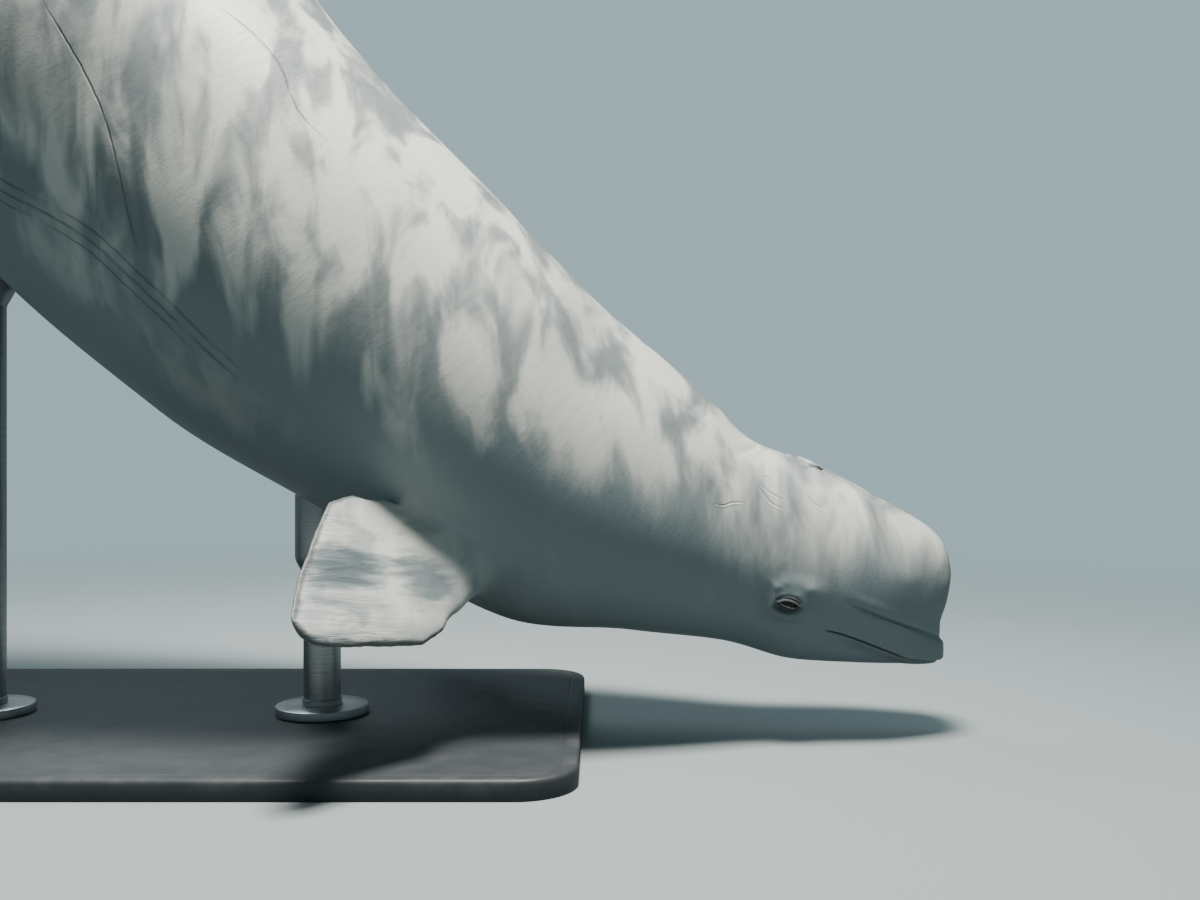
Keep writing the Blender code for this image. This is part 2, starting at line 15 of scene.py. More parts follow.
import bpy
import numpy as np
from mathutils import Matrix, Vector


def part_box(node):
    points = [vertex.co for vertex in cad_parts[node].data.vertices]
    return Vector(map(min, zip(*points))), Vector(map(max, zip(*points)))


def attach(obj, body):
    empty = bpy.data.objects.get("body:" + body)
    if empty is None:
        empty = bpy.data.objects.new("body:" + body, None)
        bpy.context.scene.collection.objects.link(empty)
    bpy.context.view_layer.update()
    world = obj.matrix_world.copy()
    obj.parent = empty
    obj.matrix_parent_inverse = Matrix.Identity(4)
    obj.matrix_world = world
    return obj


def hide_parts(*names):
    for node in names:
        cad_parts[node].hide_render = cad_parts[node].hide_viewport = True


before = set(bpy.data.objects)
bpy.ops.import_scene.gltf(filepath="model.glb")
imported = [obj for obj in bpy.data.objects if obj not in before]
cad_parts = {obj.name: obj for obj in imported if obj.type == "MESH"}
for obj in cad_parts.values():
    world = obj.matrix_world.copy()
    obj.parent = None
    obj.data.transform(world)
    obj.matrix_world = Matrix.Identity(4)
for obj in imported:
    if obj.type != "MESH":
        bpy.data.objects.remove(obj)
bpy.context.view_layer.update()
LOG = logging.getLogger("beluga_whale")

Array = np.ndarray
Table = tuple[tuple[float, ...], ...]
Colour = tuple[float, float, float]


@lru_cache(maxsize=None)
def station_knots(stations: Table, column: int) -> tuple[Array, Array, Array]:
    """The places, values and slopes of one column of a station table."""
    places = np.array([row[0] for row in stations])
    values = np.array([row[column] for row in stations])
    steps = np.diff(places)
    slopes = np.diff(values) / steps
    tangents = np.empty_like(values)
    tangents[0], tangents[-1] = slopes[0], slopes[-1]
    before, after = slopes[:-1], slopes[1:]
    same_way = before * after > 0
    weight_a, weight_b = 2 * steps[1:] + steps[:-1], steps[1:] + 2 * steps[:-1]
    mean = (weight_a + weight_b) / (
        weight_a / np.where(same_way, before, 1.0) + weight_b / np.where(same_way, after, 1.0)
    )
    tangents[1:-1] = np.where(same_way, mean, 0.0)
    return places, values, tangents


def smooth_stations(stations: Table, column: int, place: Array | float) -> Array:
    """Reads one column of a station table at each place, on a smooth curve through the stations.

    Args:
        stations: Rows of numbers, the first of each being its place.
        column: Which number of the rows to read.
        place: Where to read it; places beyond the table take its end values.

    Returns:
        The value at each place.
    """
    places, values, tangents = station_knots(stations, column)
    place = np.clip(place, places[0], places[-1])
    left = np.clip(np.searchsorted(places, place, side="right") - 1, 0, len(places) - 2)
    width = places[left + 1] - places[left]
    t = (place - places[left]) / width
    return (
        (1 + 2 * t) * (1 - t) ** 2 * values[left]
        + t * (1 - t) ** 2 * width * tangents[left]
        + t * t * (3 - 2 * t) * values[left + 1]
        + t * t * (t - 1) * width * tangents[left + 1]
    )


def eased(value: Array | float, low: float, high: float) -> Array:
    """A smooth step from 0 at low to 1 at high."""
    t = np.clip((np.asarray(value, dtype=float) - low) / (high - low), 0.0, 1.0)
    return t * t * (3 - 2 * t)


def hump(value: Array, width: float) -> Array:
    """A smooth hump of height 1 at value 0, with that half width."""
    return np.exp(-((value / width) ** 2))


def unit(vector: Array) -> Array:
    """Vectors along the last axis, made one long."""
    length = np.linalg.norm(vector, axis=-1, keepdims=True)
    return vector / np.maximum(length, 1e-12)


def path_distance(points: Array, path: Array) -> tuple[Array, Array]:
    """How far points are from a path.

    Args:
        points: Points along the last axis.
        path: The corners of the path.

    Returns:
        Each point's distance from the path, and how far along the path its nearest place is, from 0 to 1.
    """
    lengths = np.linalg.norm(np.diff(path, axis=0), axis=1)
    total = float(np.sum(lengths))
    best = np.full(points.shape[:-1], 1e9)
    share = np.zeros(points.shape[:-1])
    gone = 0.0
    for start, end, length in zip(path[:-1], path[1:], lengths):
        way = end - start
        t = np.clip(np.sum((points - start) * way, axis=-1) / length**2, 0.0, 1.0)
        distance = np.linalg.norm(points - start - t[..., None] * way, axis=-1)
        nearer = distance < best
        best = np.where(nearer, distance, best)
        share = np.where(nearer, (gone + t * length) / total, share)
        gone += length
    return best, share


class Side(Enum):
    """The animal's own left or right; the value is the sign of side coordinates there."""

    LEFT = 1
    RIGHT = -1


@dataclass
class Spine:
    """The curved spine of the dive.

    The table gives metres back from the snout, and how steeply the spine falls towards the head, in degrees.
    """

    pitch: Table = (
        (0.00, 9.6), (0.36, 9.6), (0.60, 20.7), (0.85, 31.0), (1.10, 41.8), (1.60, 44.6),
        (2.00, 48.0), (2.40, 44.0), (2.90, 32.0), (3.40, 20.0), (3.80, 13.0), (4.30, 10.0),
    )  # fmt: skip
    snout_x: float = 1.58
    snout_z: float = 0.28
    step: float = 0.01

    def __post_init__(self) -> None:
        """Adds the spine up from its pitch."""
        self.back = np.arange(-0.2, 4.6, self.step)
        self.angle = np.radians(smooth_stations(self.pitch, 1, self.back))
        start = int(round(0.2 / self.step))
        self.x = -np.cumsum(np.cos(self.angle)) * self.step
        self.x += self.snout_x - self.x[start]
        self.z = np.cumsum(np.sin(self.angle)) * self.step
        self.z += self.snout_z - self.z[start]

    def bend(self, points: Array) -> Array:
        """Straight points (back, side, up) carried onto the spine, as points of the row frame."""
        back, side, up = np.moveaxis(np.asarray(points, dtype=float), -1, 0)
        angle = np.interp(back, self.back, self.angle)
        x = np.interp(back, self.back, self.x) + np.sin(angle) * up
        z = np.interp(back, self.back, self.z) + np.cos(angle) * up
        return np.stack([x, side, z], axis=-1)


@dataclass
class BodyForm:
    """The form of head and trunk as a rough distance, negative inside.

    The trunk's table gives metres back, height above the axis, depth below it and half width. Each rounded form of
    the head gives its centre back and up, then its half length, half width and half height.
    """

    trunk: Table = (
        (0.08, 0.016, 0.060, 0.033), (0.14, 0.040, 0.090, 0.085), (0.22, 0.132, 0.133, 0.122),
        (0.33, 0.194, 0.171, 0.145), (0.45, 0.216, 0.178, 0.173), (0.58, 0.267, 0.205, 0.218),
        (0.78, 0.315, 0.281, 0.274), (1.05, 0.342, 0.308, 0.329), (1.45, 0.360, 0.392, 0.371),
        (1.90, 0.383, 0.427, 0.384), (2.30, 0.365, 0.400, 0.372), (2.70, 0.330, 0.350, 0.322),
        (3.05, 0.280, 0.280, 0.245), (3.35, 0.225, 0.210, 0.165), (3.62, 0.165, 0.145, 0.100),
        (3.84, 0.098, 0.083, 0.058), (3.95, 0.052, 0.046, 0.049), (4.02, 0.024, 0.022, 0.039),
        (4.068, 0.0095, 0.0095, 0.024),
    )  # fmt: skip
    ridge: tuple[float, float, float] = (1.75, 2.75, 0.022)
    melon_front: tuple[float, ...] = (0.138, -0.003, 0.118, 0.113, 0.1235)
    melon_crown: tuple[float, ...] = (0.252, -0.008, 0.152, 0.135, 0.163)
    upper_jaw: tuple[float, ...] = (0.152, -0.113, 0.135, 0.086, 0.0315)
    lower_jaw: tuple[float, ...] = (0.144, -0.136, 0.131, 0.0755, 0.0265)
    fullness: float = 2.4
    melon_blend: float = 0.058
    jaw_blend: float = 0.040
    head_blend: float = 0.072
    brow: tuple[float, float, float] = (0.330, 0.118, -0.040)
    brow_size: tuple[float, float, float] = (0.058, 0.0315, 0.022)
    eye_mound: tuple[float, float, float] = (0.342, 0.118, -0.070)
    eye_mound_size: tuple[float, float, float] = (0.050, 0.035, 0.034)

    def ellipsoid(self, points: Array, centre: Sequence[float], radii: Sequence[float]) -> Array:
        """Rough distance outside an ellipsoid with full shoulders."""
        scaled = np.abs(points - np.array(centre)) / np.array(radii)
        reach = np.maximum(np.sum(scaled**self.fullness, axis=-1) ** (1 / self.fullness), 0.05)
        slope = (scaled / reach[..., None]) ** (self.fullness - 1) / np.array(radii)
        return (reach - 1.0) / np.linalg.norm(slope, axis=-1)

    def rounded(self, points: Array, form: Sequence[float]) -> Array:
        """Rough distance outside one of the head's rounded forms."""
        return self.ellipsoid(points, (form[0], 0.0, form[1]), form[2:])

    def trunk_distance(self, points: Array) -> Array:
        """Rough distance outside the trunk's oval sections and the ridge along its back."""
        back, side, up = np.moveaxis(points, -1, 0)
        top, bottom, width = (smooth_stations(self.trunk, column, back) for column in (1, 2, 3))
        along = np.clip((back - self.ridge[0]) / (self.ridge[1] - self.ridge[0]), 0.0, 1.0)
        ridge = self.ridge[2] * np.sin(math.pi * along) * hump(side, 0.035)
        reach = np.hypot(side / width, up / np.where(up > 0, top + ridge, bottom))
        beyond = np.maximum(self.trunk[0][0] - back, back - self.trunk[-1][0])
        return np.maximum((reach - 1.0) * np.minimum(width, (top + bottom) / 2), beyond)

    @staticmethod
    def blended(first: Array, second: Array, softness: float) -> Array:
        """The union of two forms, with a fillet of about that size where they meet."""
        mix = np.clip(0.5 + 0.5 * (second - first) / softness, 0.0, 1.0)
        return second + (first - second) * mix - softness * mix * (1.0 - mix)

    def distance(self, points: Array) -> Array:
        """Rough distance outside head and trunk together."""
        trunk = self.trunk_distance(points)
        if points[..., 0].min() > 0.9:
            return trunk
        crown = self.blended(
            self.rounded(points, self.melon_front), self.rounded(points, self.melon_crown), self.melon_blend
        )
        jaws = self.blended(
            self.rounded(points, self.upper_jaw), self.rounded(points, self.lower_jaw), self.jaw_blend
        )
        head = self.blended(self.blended(crown, jaws, self.jaw_blend), trunk, self.head_blend)
        folded = points * np.array([1.0, 0.0, 1.0])
        folded[..., 1] = np.abs(points[..., 1])
        head = self.blended(head, self.ellipsoid(folded, self.brow, self.brow_size), 0.02)
        return self.blended(head, self.ellipsoid(folded, self.eye_mound, self.eye_mound_size), 0.014)

    def normals(self, points: Array, reach: float = 0.002) -> Array:
        """The directions straight out of the form at its surface points."""
        slopes = [
            self.distance(points + reach * axis) - self.distance(points - reach * axis) for axis in np.eye(3)
        ]
        return unit(np.stack(slopes, axis=-1))


def cast(form: Callable[[Array], Array], starts: Array, ways: Array, reach: float = 0.6) -> Array:
    """Follows rays out of a form.

    Args:
        form: Gives each point's rough distance outside the form.
        starts: Where the rays start, inside the form.
        ways: Their directions, each one long.
        reach: How far they are followed, in metres.

    Returns:
        The points where the rays leave the form.
    """
    steps = np.linspace(0.0, reach, 18)
    inside = np.stack([form(starts + ways * distance) < 0 for distance in steps])
    first = np.maximum(np.argmin(inside, axis=0), 1)
    near, far = steps[first - 1], steps[first]
    for _ in range(15):
        middle = (near + far) / 2
        outside = form(starts + ways * middle[..., None]) > 0
        far = np.where(outside, middle, far)
        near = np.where(outside, near, middle)
    return starts + ways * near[..., None]


@dataclass
class Crease:
    """A fold pressed into the skin on both sides: its path, depth, half width and the swell beside it."""

    path: Table
    depth: float
    width: float
    swell: float = 0.3


@dataclass
class Relief:
    """The shallow forms of the skin, as metres inwards: mouth line, folds, wrinkles and the unevenness of blubber."""

    head_centre: tuple[float, float] = (0.230, -0.020)
    mouth: Table = (
        (-0.060, -0.139), (0.000, -0.140), (0.045, -0.1435), (0.085, -0.1445), (0.124, -0.1365),
        (0.165, -0.1270), (0.209, -0.1175), (0.240, -0.1125), (0.268, -0.1105),
    )  # fmt: skip
    mouth_corner: float = 0.268
    lip_tuck: float = 0.006
    lip_depth: float = 0.022
    slot_depth: float = 0.0095
    slot_width: float = 0.0016
    fold_front_up: float = -0.098
    fold_end_up: float = -0.052
    fold_turn: float = math.radians(92)
    fold_depth: float = 0.0050
    fold_width: float = 0.0034
    creases: tuple[Crease, ...] = (
        Crease(((0.500, 0.120, 0.176), (0.472, 0.090, 0.192), (0.445, 0.050, 0.208), (0.436, 0.000, 0.213)), 0.0022, 0.0070),
        Crease(((0.316, 0.040, 0.190), (0.325, 0.046, 0.188), (0.335, 0.057, 0.183), (0.345, 0.069, 0.177)), 0.0030, 0.0040),
        Crease(((0.845, 0.212, -0.190), (0.826, 0.200, -0.206), (0.800, 0.185, -0.214)), 0.0035, 0.0060),
        Crease(((0.395, 0.150, -0.030), (0.380, 0.150, -0.046), (0.376, 0.149, -0.068), (0.386, 0.147, -0.092)), 0.0014, 0.0036),
        Crease(((0.412, 0.154, -0.012), (0.402, 0.154, -0.044), (0.406, 0.153, -0.080)), 0.0010, 0.0036),
        Crease(((0.300, 0.136, -0.054), (0.294, 0.134, -0.068), (0.298, 0.133, -0.086)), 0.0012, 0.0032),
        Crease(((0.372, 0.136, -0.100), (0.350, 0.137, -0.110), (0.322, 0.135, -0.106)), 0.0010, 0.0036),
        Crease(((0.374, 0.133, 0.107), (0.373, 0.145, 0.075), (0.371, 0.150, 0.045), (0.362, 0.155, 0.008)), 0.0014, 0.0075),
    )  # fmt: skip
    swells: Table = (
        (0.367, 0.150, -0.0440, 0.0075, 0.0034), (0.354, 0.150, -0.0340, 0.0065, 0.0018),
        (0.328, 0.150, -0.0545, 0.0060, 0.0020), (0.308, 0.150, -0.0385, 0.0085, 0.0028),
        (0.345, 0.146, -0.1020, 0.0120, 0.0010), (0.318, 0.147, -0.0900, 0.0090, 0.0008),
        (0.020, 0.034, -0.1050, 0.0110, 0.0020), (0.030, 0.052, -0.1080, 0.0120, 0.0012),
        (0.322, 0.030, 0.1940, 0.0110, 0.0012), (0.352, 0.046, 0.1900, 0.0100, 0.0006),
    )  # fmt: skip

    def mouth_height(self, back: Array) -> Array:
        """How high the mouth line is at each distance back."""
        return smooth_stations(self.mouth, 1, back)

    def mouth_inward(self, points: Array) -> Array:
        """The mouth line's slot, with a rounded upper lip over a tucked lower one."""
        back, _, up = np.moveaxis(points, -1, 0)
        below = self.mouth_height(back) - up
        corner = 1.0 - eased(back, self.mouth_corner - 0.030, self.mouth_corner + 0.004)
        near_corner = np.clip((0.275 - back) / 0.08, 0.0, 1.0)
        tuck = self.lip_tuck * eased(below, -0.0006, 0.0018) * hump(np.maximum(below, 0), self.lip_depth)
        slot = self.slot_depth * hump(below - 0.0004, self.slot_width)
        lips = 0.0014 * hump(below + 0.0065, 0.0050) + 0.0012 * hump(below - 0.0080, 0.0050)
        ahead = 1.0 - eased(back, 0.28, 0.32)
        return ahead * (tuck * near_corner + (slot - lips) * corner)

    def fold_inward(self, points: Array) -> Array:
        """The fold between the melon and the upper lip, with the melon swelling a little over it."""
        back, side, up = np.moveaxis(points, -1, 0)
        turn = np.abs(np.arctan2(side, self.head_centre[0] - back))
        share = turn / self.fold_turn
        above = up - (self.fold_front_up + (self.fold_end_up - self.fold_front_up) * share**1.2)
        fade = 1.0 - eased(share, 0.80, 1.08)
        middle = eased(share, 0.16, 0.44)
        groove = self.fold_depth * (0.25 + 0.75 * middle) * hump(above, self.fold_width * (1.35 - 0.35 * middle))
        swell = 0.0016 * hump(above - 0.013, 0.010) + 0.0008 * middle * hump(above + 0.009, 0.006)
        rounding = 0.0022 * (1.0 - middle) * hump(above + 0.0035, 0.0050)
        return fade * (groove - swell + rounding)

    def crease_inward(self, points: Array) -> Array:
        """The wrinkles behind the eye, over the neck and at the flippers."""
        folded = points.copy()
        folded[..., 1] = np.abs(points[..., 1])
        total = np.zeros(points.shape[:-1])
        for crease in self.creases:
            path = np.array(crease.path)
            low, high = path.min(axis=0) - 0.05, path.max(axis=0) + 0.05
            near = np.all((folded > low) & (folded < high), axis=-1)
            if not near.any():
                continue
            distance, share = path_distance(folded[near], path)
            taper = np.sin(math.pi * np.clip(share, 0.0, 1.0)) ** 0.6
            shape = hump(distance, crease.width) - crease.swell * hump(distance - 2.1 * crease.width, crease.width)
            total[near] += crease.depth * taper * shape
        for back, side, up, width, height in self.swells:
            gap = np.linalg.norm(folded - np.array([back, side, up]), axis=-1)
            total -= height * hump(gap, width)
        return total

    def blubber_inward(self, points: Array) -> Array:
        """The slight unevenness of a thick skin over blubber, strongest low on the flanks."""
        back, side, up = np.moveaxis(points, -1, 0)
        trunk = eased(back, 0.50, 1.00) * (1.0 - eased(back, 3.3, 3.8))
        waves = (
            np.sin(7.1 * back + 3.0 * up + 0.6)
            + np.sin(11.3 * back - 9.0 * side + 2.1)
            + np.sin(15.7 * up + 5.0 * back + 4.0 * side)
        )
        low = hump(up + 0.25, 0.13) * hump(back - 1.70, 0.60)
        turn = np.arctan2(up, np.abs(side) + 1e-6)
        folds = np.sin(17.0 * turn + 1.9 * np.sin(1.7 * back + 0.4) + 1.2)
        folds *= 0.55 + 0.45 * np.sin(5.3 * back + 9.0 * turn)
        return trunk * 0.0011 * waves + low * 0.0018 * folds

    def inward(self, points: Array) -> Array:
        """All of the relief together, in metres inwards."""
        head = points[..., 0] < 0.9
        total = self.blubber_inward(points) + self.crease_inward(points)
        total[head] += self.fold_inward(points[head]) + self.mouth_inward(points[head])
        return total


@dataclass
class Limb:
    """A flipper or fluke as a run of sections.

    The table gives the distance out, the leading and trailing edges across the limb, and the thickness.
    """

    table: Table
    joined_at: float
    side: Side = Side.RIGHT

    def section(self, out: float, around: Array) -> tuple[Array, Array]:
        """Points round the section at a distance out, thickest a third back from its leading edge.

        Args:
            out: How far out along the limb.
            around: Angles round the section, 0 at the leading edge of a flipper.

        Returns:
            How far each point is across the limb, and how far out of its plane.
        """
        lead, trail, thick = (float(smooth_stations(self.table, column, out)) for column in (1, 2, 3))
        across = np.cos(around)
        plump = np.abs(np.sin(around)) ** 0.9 * (1.0 + 0.35 * across) / 1.06
        return (lead + trail) / 2 + (lead - trail) / 2 * across, np.sign(np.sin(around)) * plump * thick / 2


@dataclass
class Flipper(Limb):
    """One flipper, set by its root, the way it reaches and the way its chord lies."""

    table: Table = (
        (-0.120, 0.076, -0.060, 0.072), (0.000, 0.075, -0.068, 0.066), (0.050, 0.087, -0.105, 0.054),
        (0.095, 0.090, -0.118, 0.047), (0.140, 0.100, -0.133, 0.041), (0.180, 0.101, -0.134, 0.036),
        (0.215, 0.092, -0.117, 0.033), (0.265, 0.075, -0.088, 0.029), (0.320, 0.059, -0.055, 0.025),
        (0.362, 0.047, -0.028, 0.021), (0.388, 0.036, -0.010, 0.016), (0.400, 0.024, 0.000, 0.010),
    )  # fmt: skip
    joined_at: float = 0.050
    root: tuple[float, float, float] = (0.905, 0.215, -0.205)
    span: tuple[float, float, float] = (0.239, 0.88, -0.49)
    chord: tuple[float, float, float] = (-0.95, -0.142, -0.31)
    curl: float = 0.03

    def axes(self) -> tuple[Array, Array, Array, Array]:
        """Root point, span, chord and lift directions on this side."""
        mirror = np.array([1, self.side.value, 1])
        span = unit(np.array(self.span)) * mirror
        chord = np.array(self.chord) * mirror
        chord = unit(chord - span * np.dot(span, chord))
        lift = np.cross(span, chord)
        return np.array(self.root) * mirror, span, chord, lift * (1 if lift[2] > 0 else -1)

    def ring(self, out: float, around: Array) -> Array:
        """Straight points round the section at a distance out."""
        root, span, chord, lift = self.axes()
        across, off = self.section(out, around)
        worn = 0.0006 * math.sin(97.0 * out + 1.3) + 0.0005 * math.sin(211.0 * out)
        across = across + worn * np.cos(around) ** 9
        curl = self.curl * max(0.0, out / self.table[-1][0]) ** 2.2
        wave = 0.0022 * math.sin(31.0 * out) * np.sin(24.0 * across + 9.0 * out)
        return root + span * out + np.outer(across, chord) + np.outer(off + curl + wave, lift)

    def angles(self, points: Array) -> Array:
        """Where points about the root stand round the section, as angles."""
        root, _, chord, lift = self.axes()
        return np.arctan2((points - root) @ lift / 0.06, (points - root) @ chord / 0.11)

    def outs(self) -> Array:
        """How far out the rings of the free limb are."""
        return np.concatenate([np.linspace(self.joined_at, 0.34, 26), np.linspace(0.346, 0.399, 14)])

    def tip(self) -> Array:
        """The straight point at the limb's end."""
        return self.ring(0.4005, np.array([math.pi / 2, -math.pi / 2])).mean(axis=0)


@dataclass
class Fluke(Limb):
    """One fluke, level with the straight animal's axis."""

    table: Table = (
        (0.000, 3.790, 4.060, 0.054), (0.030, 3.795, 4.096, 0.052), (0.070, 3.808, 4.137, 0.046),
        (0.130, 3.836, 4.170, 0.040), (0.200, 3.872, 4.182, 0.034), (0.280, 3.915, 4.176, 0.028),
        (0.360, 3.960, 4.152, 0.023), (0.430, 4.002, 4.118, 0.018), (0.475, 4.035, 4.090, 0.013),
        (0.496, 4.056, 4.072, 0.008),
    )  # fmt: skip
    joined_at: float = 0.090
    droop: float = 0.03

    def ring(self, out: float, around: Array) -> Array:
        """Straight points round the section at a distance out."""
        across, off = self.section(out, around)
        sideways = np.full(len(across), self.side.value * out)
        return np.stack([across, sideways, off - self.droop * (out / 0.5) ** 2], axis=-1)

    def angles(self, points: Array) -> Array:
        """Where points about the root stand round the section, as angles."""
        return np.arctan2(points[:, 2] / 0.03, -(points[:, 0] - 3.94) / 0.14)

    def outs(self) -> Array:
        """How far out the rings of the free limb are."""
        return np.concatenate([np.linspace(self.joined_at, 0.42, 26), np.linspace(0.428, 0.4955, 12)])

    def tip(self) -> Array:
        """The straight point at the limb's end."""
        return np.array([4.064, self.side.value * 0.501, -self.droop])


@dataclass
class SkinMesh:
    """The skin's points and faces, gathered piece by piece before they become one mesh.

    Each point keeps its straight place, how deep it lies in a fold, by which the finish paints shade, and for a limb
    how far out it is as a share, how near it is to the edge in metres, and 1.
    """

    straight: list[Array] = field(default_factory=list)
    hollow: list[Array] = field(default_factory=list)
    limb: list[Array] = field(default_factory=list)
    faces: list[tuple[int, ...]] = field(default_factory=list)
    count: int = 0

    def add(self, points: Array, hollow: Array | float = 0.0, limb: Array | None = None) -> Array:
        """Adds points.

        Args:
            points: Straight points in rows.
            hollow: How deep in a fold each one lies, in metres; the finish paints shade by it.
            limb: For a limb's points, their limb values; for others, none.

        Returns:
            The new points' numbers, in the shape of the rows.
        """
        shape = points.shape[:-1]
        size = int(np.prod(shape))
        self.straight.append(points.reshape(-1, 3))
        self.hollow.append(np.broadcast_to(np.asarray(hollow, dtype=float), shape).reshape(-1))
        plain = np.zeros((size, 3)) + np.array([0.0, 1.0, 0.0])
        self.limb.append(plain if limb is None else limb.reshape(-1, 3))
        numbers = np.arange(self.count, self.count + size).reshape(shape)
        self.count += size
        return numbers

    def strip(self, first: Array, second: Array) -> None:
        """Joins two closed loops of as many points with quads."""
        for i in range(len(first)):
            j = (i + 1) % len(first)
            self.faces.append((first[i], second[i], second[j], first[j]))

    def fan(self, loop: Array, pole: int) -> None:
        """Closes a loop with triangles to a pole."""
        for i in range(len(loop)):
            self.faces.append((loop[i], pole, loop[(i + 1) % len(loop)]))

    def grid(self, numbers: Array, gone: Array) -> None:
        """Joins rings of points with quads, leaving out the ones marked as gone."""
        rings, columns = numbers.shape
        for r in range(rings - 1):
            for c in range(columns):
                if not gone[r, c]:
                    d = (c + 1) % columns
                    self.faces.append((numbers[r, c], numbers[r + 1, c], numbers[r + 1, d], numbers[r, d]))

    def halved(self, fine: Array, coarse: Array) -> None:
        """Joins a ring to the next one, which has half as many points."""
        for k in range(len(coarse)):
            n = (k + 1) % len(coarse)
            a, b, c = fine[2 * k], fine[2 * k + 1], fine[(2 * k + 2) % len(fine)]
            self.faces += [(a, coarse[k], b), (b, coarse[k], coarse[n]), (b, coarse[n], c)]


def open_hole(numbers: Array, gone: Array, rows: tuple[int, int], columns: tuple[int, int]) -> Array:
    """Takes a patch of quads out of a grid.

    Args:
        numbers: The grid's point numbers, ring by ring.
        gone: Marks the quads that are left out; this patch is added to it.
        rows: First and last ring of the patch.
        columns: First and last column of the patch; the first may be below 0.

    Returns:
        The point numbers round the hole.
    """
    width = numbers.shape[1]
    across = [c % width for c in range(columns[0], columns[1] + 1)]
    first, last = rows
    for c in across[:-1]:
        gone[first:last, c] = True
    down = list(range(first, last + 1))
    loop = [numbers[first, c] for c in across]
    loop += [numbers[r, across[-1]] for r in down[1:]]
    loop += [numbers[last, c] for c in across[-2::-1]]
    loop += [numbers[r, across[0]] for r in down[-2:0:-1]]
    return np.array(loop)


